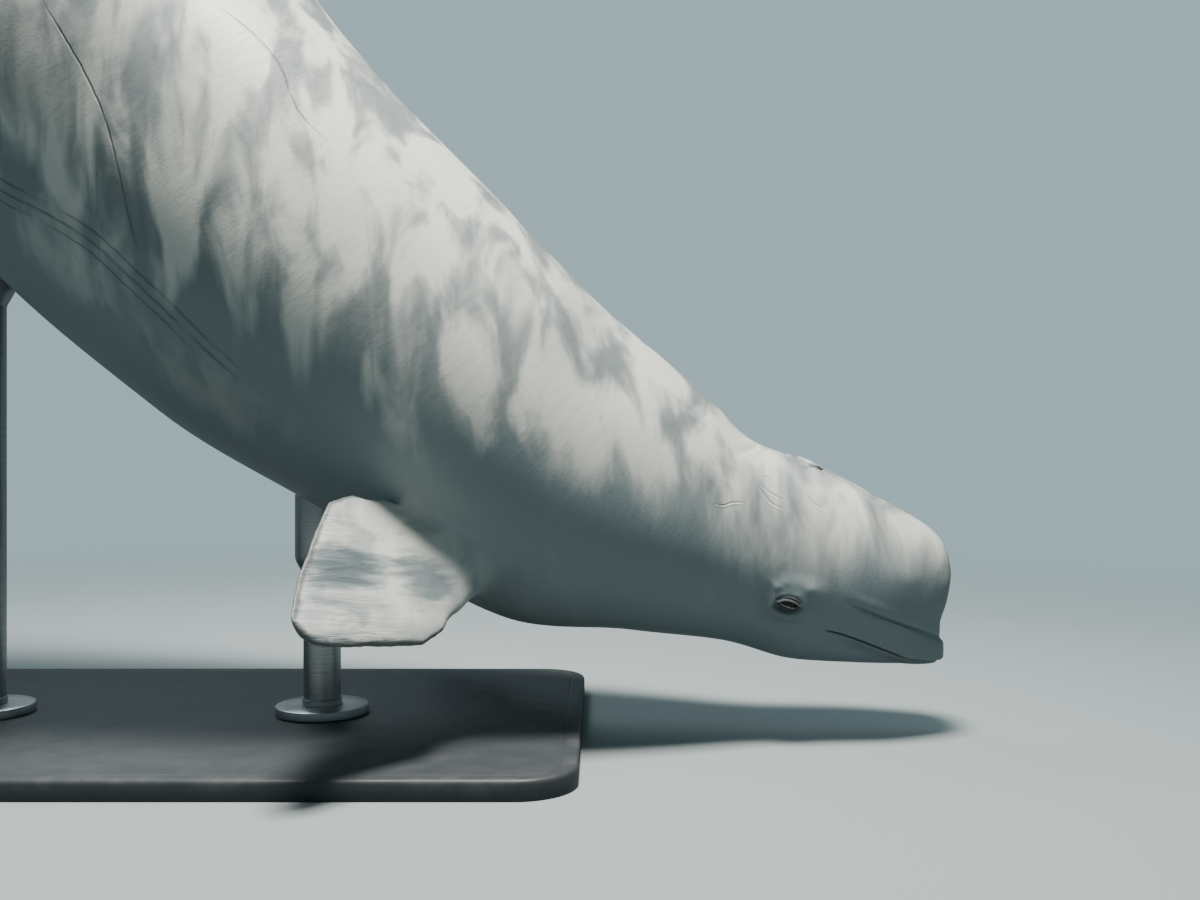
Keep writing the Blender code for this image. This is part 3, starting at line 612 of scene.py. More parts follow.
@dataclass
class Whale:
    """The animal's one skin, with its mouth, lids, blowhole, flippers and flukes grown out of it."""

    spine: Spine = field(default_factory=Spine)
    form: BodyForm = field(default_factory=BodyForm)
    relief: Relief = field(default_factory=Relief)
    head_columns: int = 288
    mouth_column: int = 96
    trunk_from: float = 0.60
    trunk_end: float = 4.066
    mouth_tilt: float = math.radians(27.6)
    mouth_crowding: float = 4.0
    crowding_width: float = 5.0
    eye: tuple[float, float, float] = (0.342, 0.1355, -0.072)
    eye_radius: float = 0.0195
    lid_size: tuple[float, float, float] = (0.031, 0.0226, 0.021)
    lid_slit: tuple[float, float] = (0.0162, 0.0046)
    blowhole_back: float = 0.335
    blowhole_radius: float = 0.042
    blowhole_turn: float = math.radians(105)

    def head_leans(self) -> Array:
        """How far each ring on the front of the head leans from the mouth's front, in radians."""
        near = np.linspace(0.25, 3.0, 12)
        lips = np.linspace(3.5, 22.0, 36)
        melon = np.linspace(23.0, 90.0, 57)
        return np.radians(np.concatenate([near, lips, melon]))

    def head_backs(self) -> Array:
        """How far back each ring behind the head's centre is."""
        face = np.arange(self.relief.head_centre[0] + 0.0036, 0.47, 0.0036)
        neck = np.linspace(face[-1], self.trunk_from, 23)[1:]
        return np.concatenate([face, neck])

    def trunk_backs(self) -> Array:
        """How far back each ring of the trunk is."""
        chest = np.linspace(self.trunk_from + 0.008, 1.12, 36)
        barrel = np.linspace(1.12, 3.72, 112)[1:]
        tail = np.linspace(3.72, self.trunk_end, 30)[1:]
        return np.concatenate([chest, barrel, tail])

    def cap_rays(self, lean: float, turn: Array) -> tuple[Array, Array]:
        """Rays for a ring on the front of the head, whose pole is the middle of the mouth."""
        share = lean / (math.pi / 2)
        tilt = self.mouth_tilt * (1.0 - share * share * (3 - 2 * share))
        ahead = np.full(len(turn), -math.cos(lean))
        aside, above = -np.sin(turn) * math.sin(lean), np.cos(turn) * math.sin(lean)
        ways = np.stack(
            [ahead * math.cos(tilt) + above * math.sin(tilt), aside, above * math.cos(tilt) + ahead * math.sin(tilt)],
            axis=-1,
        )
        back, up = self.relief.head_centre
        return np.array([back, 0.0, up]) + np.zeros_like(ways), ways

    def plane_rays(self, back: float, turn: Array) -> tuple[Array, Array]:
        """Rays for a ring in the upright plane at a distance back."""
        ways = np.stack([np.zeros(len(turn)), -np.sin(turn), np.cos(turn)], axis=-1)
        middle = self.relief.head_centre[1] * min(1.0, max(0.0, (3.0 - back) / 2))
        return np.array([back, 0.0, middle]) + np.zeros_like(ways), ways

    def spread_turns(self, mouth: float, crowding: float) -> Array:
        """Angles round the head, drawn together at the mouth line.

        Args:
            mouth: The mouth line's angle from the top, in radians.
            crowding: How much closer the columns are at the mouth line.

        Returns:
            The angle of each column of the head.
        """
        half = self.head_columns // 2
        fine = np.linspace(0.0, 180.0, 1441)
        middle = math.degrees(mouth)
        density = 1.0 + crowding * hump(fine - middle, self.crowding_width)
        total = np.concatenate([[0.0], np.cumsum((density[1:] + density[:-1]) / 2)])
        at = np.interp(middle, fine, total)
        upper = np.interp(np.linspace(0, at, self.mouth_column + 1), total, fine)
        lower = np.interp(np.linspace(at, total[-1], half - self.mouth_column + 1), total, fine)
        one_side = np.concatenate([upper, lower[1:]])
        return np.radians(np.concatenate([one_side, 360.0 - one_side[-2:0:-1]]))

    def mouth_turn(self, rays: Callable[[Array], tuple[Array, Array]]) -> float:
        """The angle at which a ring crosses the mouth line, from its rays at given angles."""
        turns = np.radians(np.linspace(80.0, 150.0, 57))
        points = cast(self.form.distance, *rays(turns))
        above = points[:, 2] - self.relief.mouth_height(points[:, 0])
        crossing = int(np.argmax(above < 0))
        if crossing == 0:
            return math.radians(90.0)
        share = above[crossing - 1] / (above[crossing - 1] - above[crossing])
        return float(turns[crossing - 1] + share * (turns[crossing] - turns[crossing - 1]))

    def head_points(self) -> Array:
        """The straight points of the head's rings on the plain form."""
        rings = []
        corner = math.radians(self.mouth_column / self.head_columns * 360.0)
        mouth = corner
        for lean in self.head_leans():
            mouth = self.mouth_turn(lambda turn, lean=lean: self.cap_rays(lean, turn))
            turn = self.spread_turns(mouth, self.mouth_crowding)
            rings.append(cast(self.form.distance, *self.cap_rays(lean, turn)))
        for back in self.head_backs():
            if back < self.relief.mouth_corner:
                mouth = self.mouth_turn(lambda turn, back=back: self.plane_rays(back, turn))
            fade = float(eased(back, self.relief.mouth_corner, self.relief.mouth_corner + 0.16))
            turn = self.spread_turns(mouth + (corner - mouth) * fade, self.mouth_crowding * (1 - fade))
            rings.append(cast(self.form.distance, *self.plane_rays(back, turn)))
        return np.array(rings)

    def trunk_points(self) -> Array:
        """The straight points of the trunk's rings on the plain form."""
        turn = np.linspace(0.0, 2 * math.pi, self.head_columns // 2, endpoint=False)
        return np.array([cast(self.form.distance, *self.plane_rays(back, turn)) for back in self.trunk_backs()])

    def sunk(self, points: Array) -> tuple[Array, Array]:
        """Points of the plain form moved in by the relief, and how far each moved."""
        inward = self.relief.inward(points)
        return points - self.form.normals(points) * inward[..., None], inward

    def grow_lids(self, mesh: SkinMesh, plain: Array, loop: Array, side: Side) -> None:
        """Fills an eye's hole with lids round a slit, and a socket round the eyeball.

        Args:
            mesh: The skin's points and faces so far.
            plain: The hole's points on the plain form.
            loop: The numbers of the hole's points.
            side: Which eye.
        """
        back, out, up = self.eye
        sign = side.value
        offset = plain[:, [0, 2]] - np.array([back, up])
        around = np.arctan2(offset[:, 1] / 0.022, offset[:, 0] / 0.031)
        lean = math.radians(4)
        slit = np.stack(
            [
                self.lid_slit[0] * np.cos(around),
                self.lid_slit[1] * np.sin(around) * (1.0 - 0.30 * np.cos(around) ** 2),
            ],
            axis=-1,
        )
        slit = slit @ np.array([[math.cos(lean), math.sin(lean)], [-math.sin(lean), math.cos(lean)]])

        def lidded(points: Array) -> Array:
            scaled = np.linalg.norm((points - np.array([back, sign * out, up])) / np.array(self.lid_size), axis=-1)
            lid = (scaled - 1.0) * 0.021
            return self.form.blended(self.form.distance(points), lid, 0.007)

        turned = np.array([[math.cos(lean), -math.sin(lean)], [math.sin(lean), math.cos(lean)]])

        def fold(flat: Array, ahead: float, height: float, width: float) -> Array:
            """A curved fold round the slit, at a height over or under its middle."""
            places = flat @ turned - np.array([ahead, 0.0])
            reach = (np.abs(places[:, 0] / (0.016 + 0.62 * height)) ** 1.8 + np.abs(places[:, 1] / height) ** 1.8) ** (1 / 1.8)
            return hump((reach - 1.0) * height, width)

        over = eased(np.sin(around), -0.10, 0.45)
        under = eased(-np.sin(around), -0.10, 0.45)
        previous = loop
        for share in np.linspace(1.0, 0.0, 20)[1:]:
            t = share**1.25
            flat = slit + (offset - slit) * t
            starts = np.stack([back + flat[:, 0], np.full(len(flat), sign * 0.04), up + flat[:, 1]], axis=-1)
            ways = np.zeros_like(starts) + np.array([0.0, sign, 0.0])
            points = cast(lidded, starts, ways, 0.25)
            crease = over * (0.0019 * fold(flat, 0.0, 0.0102, 0.0018) + 0.0012 * fold(flat, -0.002, 0.0155, 0.0019))
            crease += under * (0.0015 * fold(flat, 0.001, 0.0094, 0.0017) + 0.0010 * fold(flat, -0.001, 0.0140, 0.0018))
            crease += 0.0002 * np.sin(14 * around) * hump(t - 0.45, 0.18) * np.abs(np.cos(around)) ** 2
            rim = 0.0005 * hump(t - 0.085, 0.060) - 0.0006 * hump(t, 0.030)
            inward = self.relief.inward(points) * t + crease * eased(t, 0.0, 0.12) - rim
            points[:, 1] -= sign * inward
            # How deep each point lies, deepened at the slit, for the painted shade there.
            numbers = mesh.add(points, np.maximum(inward, 0.0) * 1.5 + 0.0030 * hump(t, 0.05))
            mesh.strip(previous, numbers)
            previous, edge = numbers, points
        middle = np.array([back, sign * out, up])
        room = self.eye_radius + 0.0005
        # The socket and the eyeball's hidden back get a fixed depth, which the finish paints as shade.
        for depth, widen in ((0.35, 0.965), (0.75, 0.975), (1.0, 1.0)):
            flat = slit * widen
            ball = sign * np.sqrt(room**2 - np.sum(flat**2, axis=-1))
            aside = edge[:, 1] + (middle[1] + ball - edge[:, 1]) * depth
            points = np.stack([back + flat[:, 0], aside, up + flat[:, 1]], axis=-1)
            numbers = mesh.add(points, 0.004)
            mesh.strip(previous, numbers)
            previous = numbers
        way = points - middle
        polar = np.arccos(np.clip(sign * way[:, 1] / np.linalg.norm(way, axis=-1), -1.0, 1.0))
        azimuth = np.arctan2(way[:, 2], way[:, 0])
        for share in np.linspace(0.0, 1.0, 9)[1:-1]:
            angle = polar + (math.pi - polar) * share
            points = middle + room * np.stack(
                [np.sin(angle) * np.cos(azimuth), sign * np.cos(angle), np.sin(angle) * np.sin(azimuth)], axis=-1
            )
            numbers = mesh.add(points, 0.006)
            mesh.strip(previous, numbers)
            previous = numbers
        pole = mesh.add(middle[None] - np.array([[0.0, sign * room, 0.0]]), 0.006)
        mesh.fan(previous, int(pole[0]))

    def grow_blowhole(self, mesh: SkinMesh, plain: Array, loop: Array) -> None:
        """Fills the hole on top of the head with the blowhole, a crescent slit open towards the snout.

        Args:
            mesh: The skin's points and faces so far.
            plain: The hole's points on the plain form.
            loop: The numbers of the hole's points.
        """
        middle = self.blowhole_back - 0.5 * self.blowhole_radius
        offset = plain[:, :2] - np.array([self.blowhole_back - 0.004, 0.0])
        angle = np.arctan2(offset[:, 1], offset[:, 0])
        arm = math.radians(126)
        outer = np.abs(angle) <= arm
        share = np.where(outer, np.abs(angle) / arm, (math.pi - np.abs(angle)) / (math.pi - arm))
        turn = np.sign(angle) * share * self.blowhole_turn
        wide = 0.0006 + 0.0036 * np.cos(turn * 0.78) ** 0.6

        def crescent(widen: float) -> Array:
            radius = self.blowhole_radius + np.where(outer, 1.0, -1.0) * wide * widen
            return np.stack([middle + radius * np.cos(turn), radius * np.sin(turn)], axis=-1)

        previous = loop
        for share in np.linspace(1.0, 0.0, 20)[1:]:
            t = share**1.3
            flat = crescent(1.0) + (plain[:, :2] - crescent(1.0)) * t
            starts = np.stack([flat[:, 0], flat[:, 1], np.full(len(flat), 0.02)], axis=-1)
            points = cast(self.form.distance, starts, np.zeros_like(starts) + np.array([0.0, 0.0, 1.0]), 0.35)
            behind = np.clip(np.cos(turn), 0.0, 1.0) ** 1.5
            lip = np.where(outer, 0.0022 * behind - 0.0012 * (1.0 - behind), 0.0026) * hump(t - 0.12, 0.17)
            lip = lip - 0.0014 * hump(t - 0.48, 0.14) * outer
            flap = np.where(outer, 0.0, 0.0016 * hump(t - 0.35, 0.3))
            dip = 0.0034 * hump(t, 0.045)
            inward = self.relief.inward(points) - lip - flap + dip
            points[:, 2] -= inward
            # How deep each point lies, deepened at the slit, for the painted shade there.
            numbers = mesh.add(points, np.maximum(inward, 0.0) + 0.0035 * hump(t, 0.05))
            mesh.strip(previous, numbers)
            previous = numbers
        top = points[:, 2]
        # The blowhole's inside gets a fixed depth, which the finish paints as shade.
        for depth, narrow in ((0.0015, 0.80), (0.004, 0.55), (0.008, 0.40), (0.014, 0.22)):
            flat = crescent(narrow)
            deep = np.stack([flat[:, 0], flat[:, 1], top - depth * (0.3 + 0.7 * np.cos(turn * 0.8))], axis=-1)
            numbers = mesh.add(deep, 0.008)
            mesh.strip(previous, numbers)
            previous = numbers
        mesh.faces.append(tuple(int(n) for n in previous))

    def grow_limb(self, mesh: SkinMesh, limb: Flipper | Fluke, plain: Array, loop: Array, softness: float) -> None:
        """Grows a limb out of its hole, over a fillet that starts along the body and ends along the limb.

        Args:
            mesh: The skin's points and faces so far.
            limb: The flipper or fluke.
            plain: The hole's points.
            loop: The numbers of the hole's points.
            softness: The least length of the fillet's run along the body, in metres.
        """
        count = len(loop)
        rooted = np.unwrap(limb.angles(plain))
        turned = 1.0 if rooted[-1] > rooted[0] else -1.0
        even = rooted[0] + turned * np.linspace(0.0, 2 * math.pi, count, endpoint=False)
        even += np.mean(rooted - even)
        first = limb.ring(limb.joined_at, rooted)
        ahead = unit(limb.ring(limb.joined_at + 0.004, rooted) - first)
        normal = self.form.normals(plain)
        gap = first - plain
        inwards = plain.mean(axis=0) - plain
        flat_gap = gap - normal * np.sum(gap * normal, axis=-1, keepdims=True)
        flat_in = unit(inwards - normal * np.sum(inwards * normal, axis=-1, keepdims=True))
        length = np.linalg.norm(gap, axis=-1, keepdims=True)
        leave = flat_gap * 0.9 + flat_in * softness
        arrive = ahead * np.maximum(length, 0.02) * 0.9
        previous = loop
        for t in np.linspace(0.0, 1.0, 12)[1:-1]:
            points = (
                (1 + 2 * t) * (1 - t) ** 2 * plain
                + t * (1 - t) ** 2 * leave
                + t * t * (3 - 2 * t) * first
                + t * t * (t - 1) * arrive
            )
            facts = np.stack([np.zeros(count), np.full(count, 0.1), np.full(count, t)], axis=-1)
            numbers = mesh.add(points, 0.0, facts)
            mesh.strip(previous, numbers)
            previous = numbers
        outs = limb.outs()
        reach = limb.table[-1][0]
        for out in outs:
            share = float(eased(out, limb.joined_at, limb.joined_at + 0.3 * reach))
            around = rooted + (even - rooted) * share
            points = limb.ring(out, around)
            lead, trail = (float(smooth_stations(limb.table, column, out)) for column in (1, 2))
            chord = abs(lead - trail)
            edge = np.minimum((1 - np.abs(np.cos(around))) * chord / 2, (reach - out) + 0.001)
            facts = np.stack([np.full(count, out / reach), edge, np.ones(count)], axis=-1)
            numbers = mesh.add(points, 0.0, facts)
            mesh.strip(previous, numbers)
            previous = numbers
        pole = mesh.add(limb.tip()[None], 0.0, np.array([[1.0, 0.0, 1.0]]))
        mesh.fan(previous, int(pole[0]))

    def gather(self) -> SkinMesh:
        """The whole skin's points and faces."""
        mesh = SkinMesh()
        head_plain, trunk_plain = self.head_points(), self.trunk_points()
        head_sunk, head_in = self.sunk(head_plain)
        trunk_sunk, trunk_in = self.sunk(trunk_plain)
        head = mesh.add(head_sunk, np.maximum(head_in, 0.0))
        trunk = mesh.add(trunk_sunk, np.maximum(trunk_in, 0.0))
        gone_head = np.zeros(head.shape, dtype=bool)
        gone_trunk = np.zeros(trunk.shape, dtype=bool)
        backs = head_plain[:, :, 0].max(axis=1)
        rows = np.where(np.abs(backs - self.eye[0]) < 0.0315)[0]
        rows = rows[rows >= len(self.head_leans())]
        ring = head_plain[(rows[0] + rows[-1]) // 2]
        half = self.head_columns // 2
        columns = np.where(np.abs(ring[:half, 2] - self.eye[2]) < 0.0235)[0]
        span = (int(columns[0]), int(columns[-1]))
        mirrored = (self.head_columns - span[1], self.head_columns - span[0])
        flat_plain = head_plain.reshape(-1, 3)
        for side, where in ((Side.RIGHT, span), (Side.LEFT, mirrored)):
            loop = open_hole(head, gone_head, (int(rows[0]), int(rows[-1])), where)
            self.grow_lids(mesh, flat_plain[loop], loop, side)
        rows = np.where((backs > 0.280) & (backs < 0.392))[0]
        rows = rows[rows >= len(self.head_leans())]
        ring = head_plain[(rows[0] + rows[-1]) // 2]
        wide = int(np.where(np.abs(ring[: half // 2, 1]) < 0.066)[0][-1])
        loop = open_hole(head, gone_head, (int(rows[0]), int(rows[-1])), (-wide, wide))
        self.grow_blowhole(mesh, flat_plain[loop], loop)
        trunk_backs = self.trunk_backs()
        flat_sunk = trunk_sunk.reshape(-1, 3)
        trunk_columns = trunk.shape[1]
        for side in Side:
            for limb, low, high, middle, reach, softness in (
                (Flipper(side=side), 0.905 - 0.112, 0.905 + 0.112, -0.208, 0.072, 0.035),
                (Fluke(side=side), 3.800, 4.040, 0.0, 0.0285, 0.012),
            ):
                rows = np.where((trunk_backs > low) & (trunk_backs < high))[0]
                at = (rows[0] + rows[-1]) // 2 if isinstance(limb, Flipper) else rows[0] + 3
                ring = trunk_plain[at]
                columns = np.where(np.abs(ring[: trunk_columns // 2, 2] - middle) < reach)[0]
                span = (int(columns[0]), int(columns[-1]))
                if side is Side.LEFT:
                    span = (trunk_columns - span[1], trunk_columns - span[0])
                loop = open_hole(trunk, gone_trunk, (int(rows[0]), int(rows[-1])), span)
                self.grow_limb(mesh, limb, flat_sunk[loop - trunk[0, 0]], loop, softness)
        mesh.grid(head, gone_head)
        mesh.grid(trunk, gone_trunk)
        mesh.halved(head[-1], trunk[0])
        front = self.cap_rays(1e-5, np.zeros(1))
        nose_plain = cast(self.form.distance, *front)
        nose, nose_in = self.sunk(nose_plain)
        pole = mesh.add(nose, np.maximum(nose_in, 0.0))
        mesh.fan(head[0], int(pole[0]))
        last = trunk_sunk[-1]
        centre = last.mean(axis=0)
        previous = trunk[-1]
        for scale, further in ((0.86, 0.0028), (0.55, 0.0050)):
            points = centre + (last - centre) * scale + np.array([further, 0.0, 0.0])
            numbers = mesh.add(points)
            mesh.strip(previous, numbers)
            previous = numbers
        pole = mesh.add(centre[None] + np.array([[0.0060, 0.0, 0.0]]))
        mesh.fan(previous, int(pole[0]))
        return mesh


class Nodes:
    """Adds and links the nodes of one node tree."""

    def __init__(self, tree: bpy.types.NodeTree) -> None:
        """Keeps the tree."""
        self.tree = tree

    def feed(self, socket: bpy.types.NodeSocket, value: object) -> None:
        """Links an output to a socket, or sets the socket's own value."""
        if isinstance(value, bpy.types.NodeSocket):
            self.tree.links.new(value, socket)
        elif value is not None:
            socket.default_value = value

    def add(self, kind: str, inputs: dict[str, object] | None = None, **settings: object) -> bpy.types.Node:
        """Adds a node.

        Args:
            kind: The node's type.
            inputs: What its named inputs get, an output or a value.
            **settings: Its own settings.

        Returns:
            The node.
        """
        node = self.tree.nodes.new(kind)
        for name, value in settings.items():
            setattr(node, name, value)
        for name, value in (inputs or {}).items():
            self.feed(node.inputs[name], value)
        return node

    def math(self, operation: str, *values: object, clamp: bool = False) -> bpy.types.NodeSocket:
        """The outcome of a sum on values or outputs."""
        node = self.add("ShaderNodeMath", operation=operation, use_clamp=clamp)
        for socket, value in zip(node.inputs, values):
            self.feed(socket, value)
        return node.outputs[0]

    def mix(self, share: object, first: object, second: object) -> bpy.types.NodeSocket:
        """A colour between two others."""
        node = self.add("ShaderNodeMix", data_type="RGBA")
        for place, value in ((0, share), (6, first), (7, second)):
            value = (*value, 1.0) if isinstance(value, tuple) and len(value) == 3 else value
            self.feed(node.inputs[place], value)
        return node.outputs[2]

    def band(
        self, value: object, low: float, high: float, start: float = 0.0, end: float = 1.0
    ) -> bpy.types.NodeSocket:
        """A smooth step from start, where the value is low, to end, where it is high."""
        wanted = {"Value": value, "From Min": low, "From Max": high, "To Min": start, "To Max": end}
        return self.add("ShaderNodeMapRange", wanted, interpolation_type="SMOOTHSTEP").outputs[0]

    def scaled(self, vector: object, by: Colour) -> bpy.types.NodeSocket:
        """A vector with each of its parts scaled."""
        node = self.add("ShaderNodeVectorMath", operation="MULTIPLY")
        self.feed(node.inputs[0], vector)
        self.feed(node.inputs[1], by)
        return node.outputs[0]

    def noise(
        self, vector: object, scale: float, detail: float = 3.0, rough: float = 0.55, distort: float = 0.0
    ) -> bpy.types.NodeSocket:
        """Soft noise between 0 and 1."""
        wanted = {"Vector": vector, "Scale": scale, "Detail": detail, "Roughness": rough, "Distortion": distort}
        return self.add("ShaderNodeTexNoise", wanted).outputs[0]

    def attribute(self, name: str) -> bpy.types.Node:
        """A node that reads one of the mesh's attributes."""
        return self.add("ShaderNodeAttribute", attribute_name=name)

    def parts(self, vector: object) -> tuple[bpy.types.NodeSocket, ...]:
        """The three parts of a vector."""
        return tuple(self.add("ShaderNodeSeparateXYZ", {"Vector": vector}).outputs)


def node_group(name: str, inputs: dict[str, str], outputs: dict[str, str]) -> tuple[bpy.types.NodeTree, Nodes, dict, dict]:
    """Starts a shader node group.

    Args:
        name: The group's name.
        inputs: Its inputs, each with its kind of socket.
        outputs: Its outputs, likewise.

    Returns:
        The group, its node maker, its inputs as outputs inside it, and its outputs as inputs inside it.
    """
    group = bpy.data.node_groups.new(name, "ShaderNodeTree")
    for label, kind in inputs.items():
        group.interface.new_socket(name=label, in_out="INPUT", socket_type=kind)
    for label, kind in outputs.items():
        group.interface.new_socket(name=label, in_out="OUTPUT", socket_type=kind)
    make = Nodes(group)
    start, end = group.nodes.new("NodeGroupInput"), group.nodes.new("NodeGroupOutput")
    return group, make, {s.name: s for s in start.outputs if s.name}, {s.name: s for s in end.inputs if s.name}


@dataclass
class SharedEffects:
    """The node groups that more than one finish uses."""

    number: str = "NodeSocketFloat"
    vector: str = "NodeSocketVector"

    def __post_init__(self) -> None:
        """Makes each group once."""
        self.line = self.make_line()
        self.grain = self.make_grain()
        self.furrow = self.make_furrow()

    def make_furrow(self) -> bpy.types.NodeTree:
        """A fine fold in the skin: a groove with a ridge under it, a little uneven, with masks of the groove and the
        ridge for the painted shade and highlight.
        """
        group, make, start, end = node_group(
            "skin_furrow", {"Mark": self.vector}, {"Height": self.number, "Mask": self.number, "Crest": self.number}
        )
        above, _, depth = make.parts(start["Mark"])
        uneven = make.noise(make.scaled(start["Mark"], (30.0, 55.0, 0.0)), 1.0, 2.0)
        above = make.math("ADD", above, make.math("MULTIPLY", make.math("SUBTRACT", uneven, 0.5), 0.003))
        width = make.math("ADD", make.math("MULTIPLY", depth, 0.65), 0.0011)
        share = make.math("DIVIDE", above, width)

        def bump(place: float) -> bpy.types.NodeSocket:
            gap = make.math("POWER", make.math("ABSOLUTE", make.math("SUBTRACT", share, place)), 2.0)
            return make.math("EXPONENT", make.math("MULTIPLY", gap, -1.0))

        groove = make.math("MULTIPLY", bump(0.0), depth)
        ridge = make.math("MULTIPLY", make.math("MULTIPLY", bump(-1.7), depth), 0.55)
        make.feed(end["Height"], make.math("SUBTRACT", ridge, groove))
        make.feed(end["Mask"], make.math("MULTIPLY", groove, 500.0, clamp=True))
        make.feed(end["Crest"], make.math("MULTIPLY", ridge, 900.0, clamp=True))
        return group

    def make_line(self) -> bpy.types.NodeTree:
        """A fine line beside a marked path, a little ragged, that thins out at its ends."""
        wanted = {"Mark": self.vector, "Offset": self.number, "Width": self.number, "Length": self.number}
        group, make, start, end = node_group("fine_line", wanted, {"Mask": self.number})
        across, along, _ = make.parts(start["Mark"])
        ragged = make.noise(make.scaled(start["Mark"], (40.0, 40.0, 0.0)), 1.0, 2.0)
        shift = make.math("MULTIPLY", make.math("SUBTRACT", ragged, 0.5), 0.004)
        gap = make.math("ABSOLUTE", make.math("SUBTRACT", make.math("ADD", across, shift), start["Offset"]))
        body = make.math("SUBTRACT", 1.0, make.math("DIVIDE", gap, start["Width"]), clamp=True)
        head = make.math("MULTIPLY", along, 14.0, clamp=True)
        tail = make.math("MULTIPLY", make.math("SUBTRACT", start["Length"], along), 14.0, clamp=True)
        broken = make.band(make.noise(make.scaled(start["Mark"], (60.0, 9.0, 0.0)), 1.0, 2.0), 0.30, 0.55)
        mask = make.math("MULTIPLY", make.math("MULTIPLY", body, broken), make.math("MULTIPLY", head, tail))
        make.feed(end["Mask"], mask)
        return group

    def make_grain(self) -> bpy.types.NodeTree:
        """A fine even grain, as a height and as a patchiness."""
        group, make, start, end = node_group(
            "fine_grain",
            {"Place": self.vector, "Size": self.number},
            {"Height": self.number, "Patch": self.number},
        )
        fine = make.add("ShaderNodeTexNoise", {"Vector": start["Place"], "Detail": 4.0, "Roughness": 0.6})
        make.feed(fine.inputs["Scale"], start["Size"])
        broad = make.add("ShaderNodeTexNoise", {"Vector": start["Place"], "Detail": 3.0, "Roughness": 0.55})
        make.feed(broad.inputs["Scale"], make.math("MULTIPLY", start["Size"], 0.04))
        make.feed(end["Height"], fine.outputs[0])
        make.feed(end["Patch"], broad.outputs[0])
        return group


def new_material(name: str) -> tuple[bpy.types.Material, Nodes, bpy.types.Node]:
    """Starts a material: the material, its node maker and its Principled shader."""
    look = bpy.data.materials.new(name)
    look.use_nodes = True
    return look, Nodes(look.node_tree), look.node_tree.nodes["Principled BSDF"]


@dataclass(frozen=True)
class Scar:
    """A mark on one flank: its attribute, its side, and its path as points back and up."""

    attribute: str
    side: Side
    path: Table


SCARS = (
    Scar("rake", Side.RIGHT, ((1.90, -0.272), (1.825, -0.255), (1.73, -0.219), (1.63, -0.197), (1.50, -0.196), (1.41, -0.199), (1.30, -0.199))),
    Scar("rake", Side.LEFT, ((2.30, -0.060), (2.20, -0.100), (2.08, -0.120), (1.95, -0.115), (1.84, -0.090))),
    Scar("scar", Side.RIGHT, ((1.985, 0.030), (1.963, 0.021), (1.907, 0.010), (1.822, -0.010), (1.755, -0.035), (1.694, -0.071), (1.606, -0.133), (1.58, -0.150))),
    Scar("scar", Side.LEFT, ((1.20, 0.120), (1.28, 0.060), (1.40, 0.020), (1.52, 0.010))),
    Scar("scratch", Side.RIGHT, ((1.830, 0.222), (1.776, 0.234), (1.721, 0.241), (1.66, 0.238), (1.60, 0.215), (1.546, 0.198), (1.497, 0.198))),
    Scar("scratch", Side.LEFT, ((0.86, 0.140), (0.95, 0.170), (1.06, 0.180), (1.15, 0.200))),
)  # fmt: skip


FURROWS: dict[str, tuple[tuple[Table, float], ...]] = {
    "furrow_one": (
        (((0.524, 0.076), (0.515, 0.081), (0.503, 0.082), (0.487, 0.090), (0.468, 0.095), (0.450, 0.096)), 0.0009),
        (((0.443, 0.133), (0.431, 0.127), (0.419, 0.118), (0.405, 0.106), (0.391, 0.101), (0.374, 0.097)), 0.0019),
        (((0.342, 0.135), (0.328, 0.123), (0.316, 0.114), (0.300, 0.109)), 0.0013),
    ),
    "furrow_two": (
        (((0.440, 0.1395), (0.424, 0.132), (0.409, 0.124), (0.392, 0.118), (0.374, 0.113)), 0.0016),
        (((0.328, 0.140), (0.315, 0.127), (0.300, 0.119)), 0.0009),
        (
            ((0.282, -0.1100), (0.262, -0.1108), (0.240, -0.1125), (0.209, -0.1175), (0.165, -0.1270), (0.124, -0.1365),
             (0.085, -0.1445), (0.045, -0.1435)),
            0.0013,
        ),
    ),
    "furrow_three": (
        (((0.432, 0.150), (0.417, 0.150), (0.400, 0.144)), 0.0011),
        (
            ((0.195, -0.0640), (0.168, -0.0690), (0.132, -0.0765), (0.106, -0.0820), (0.083, -0.0865), (0.064, -0.0895)),
            0.0012,
        ),
    ),
}  # fmt: skip


# Where the painted light gives way to painted shade on the flanks: metres back, and the height of that line.
SHADE_LINE: Table = (
    (0.049, 0.034), (0.148, 0.041), (0.243, 0.018), (0.369, -0.016), (0.463, 0.027), (0.570, 0.074),
    (0.656, 0.081), (0.748, 0.060), (0.840, 0.042), (0.927, 0.018), (1.008, -0.013), (1.196, -0.047),
    (1.371, -0.099), (1.591, -0.161), (1.730, -0.186), (2.200, -0.210), (3.000, -0.150), (3.600, -0.070),
    (4.100, -0.020),
)  # fmt: skip
# The band low on the flanks that is painted lighter, as if lit by light thrown up from below: metres back, and its
# height.
LOW_LIGHT: Table = (
    (1.100, -0.225), (1.256, -0.237), (1.416, -0.262), (1.524, -0.271), (1.743, -0.281), (2.200, -0.290),
    (2.800, -0.260),
)  # fmt: skip


def smooth_path(path: Table, count: int = 40) -> Array:
    """A path's points set close together on a smooth curve through them."""
    points = np.array(path)
    gone = np.concatenate([[0.0], np.cumsum(np.linalg.norm(np.diff(points, axis=0), axis=1))])
    places = np.linspace(0.0, gone[-1], count)
    columns = [smooth_stations(tuple(zip(gone, points[:, i])), 1, places) for i in range(points.shape[1])]
    return np.stack(columns, axis=-1)


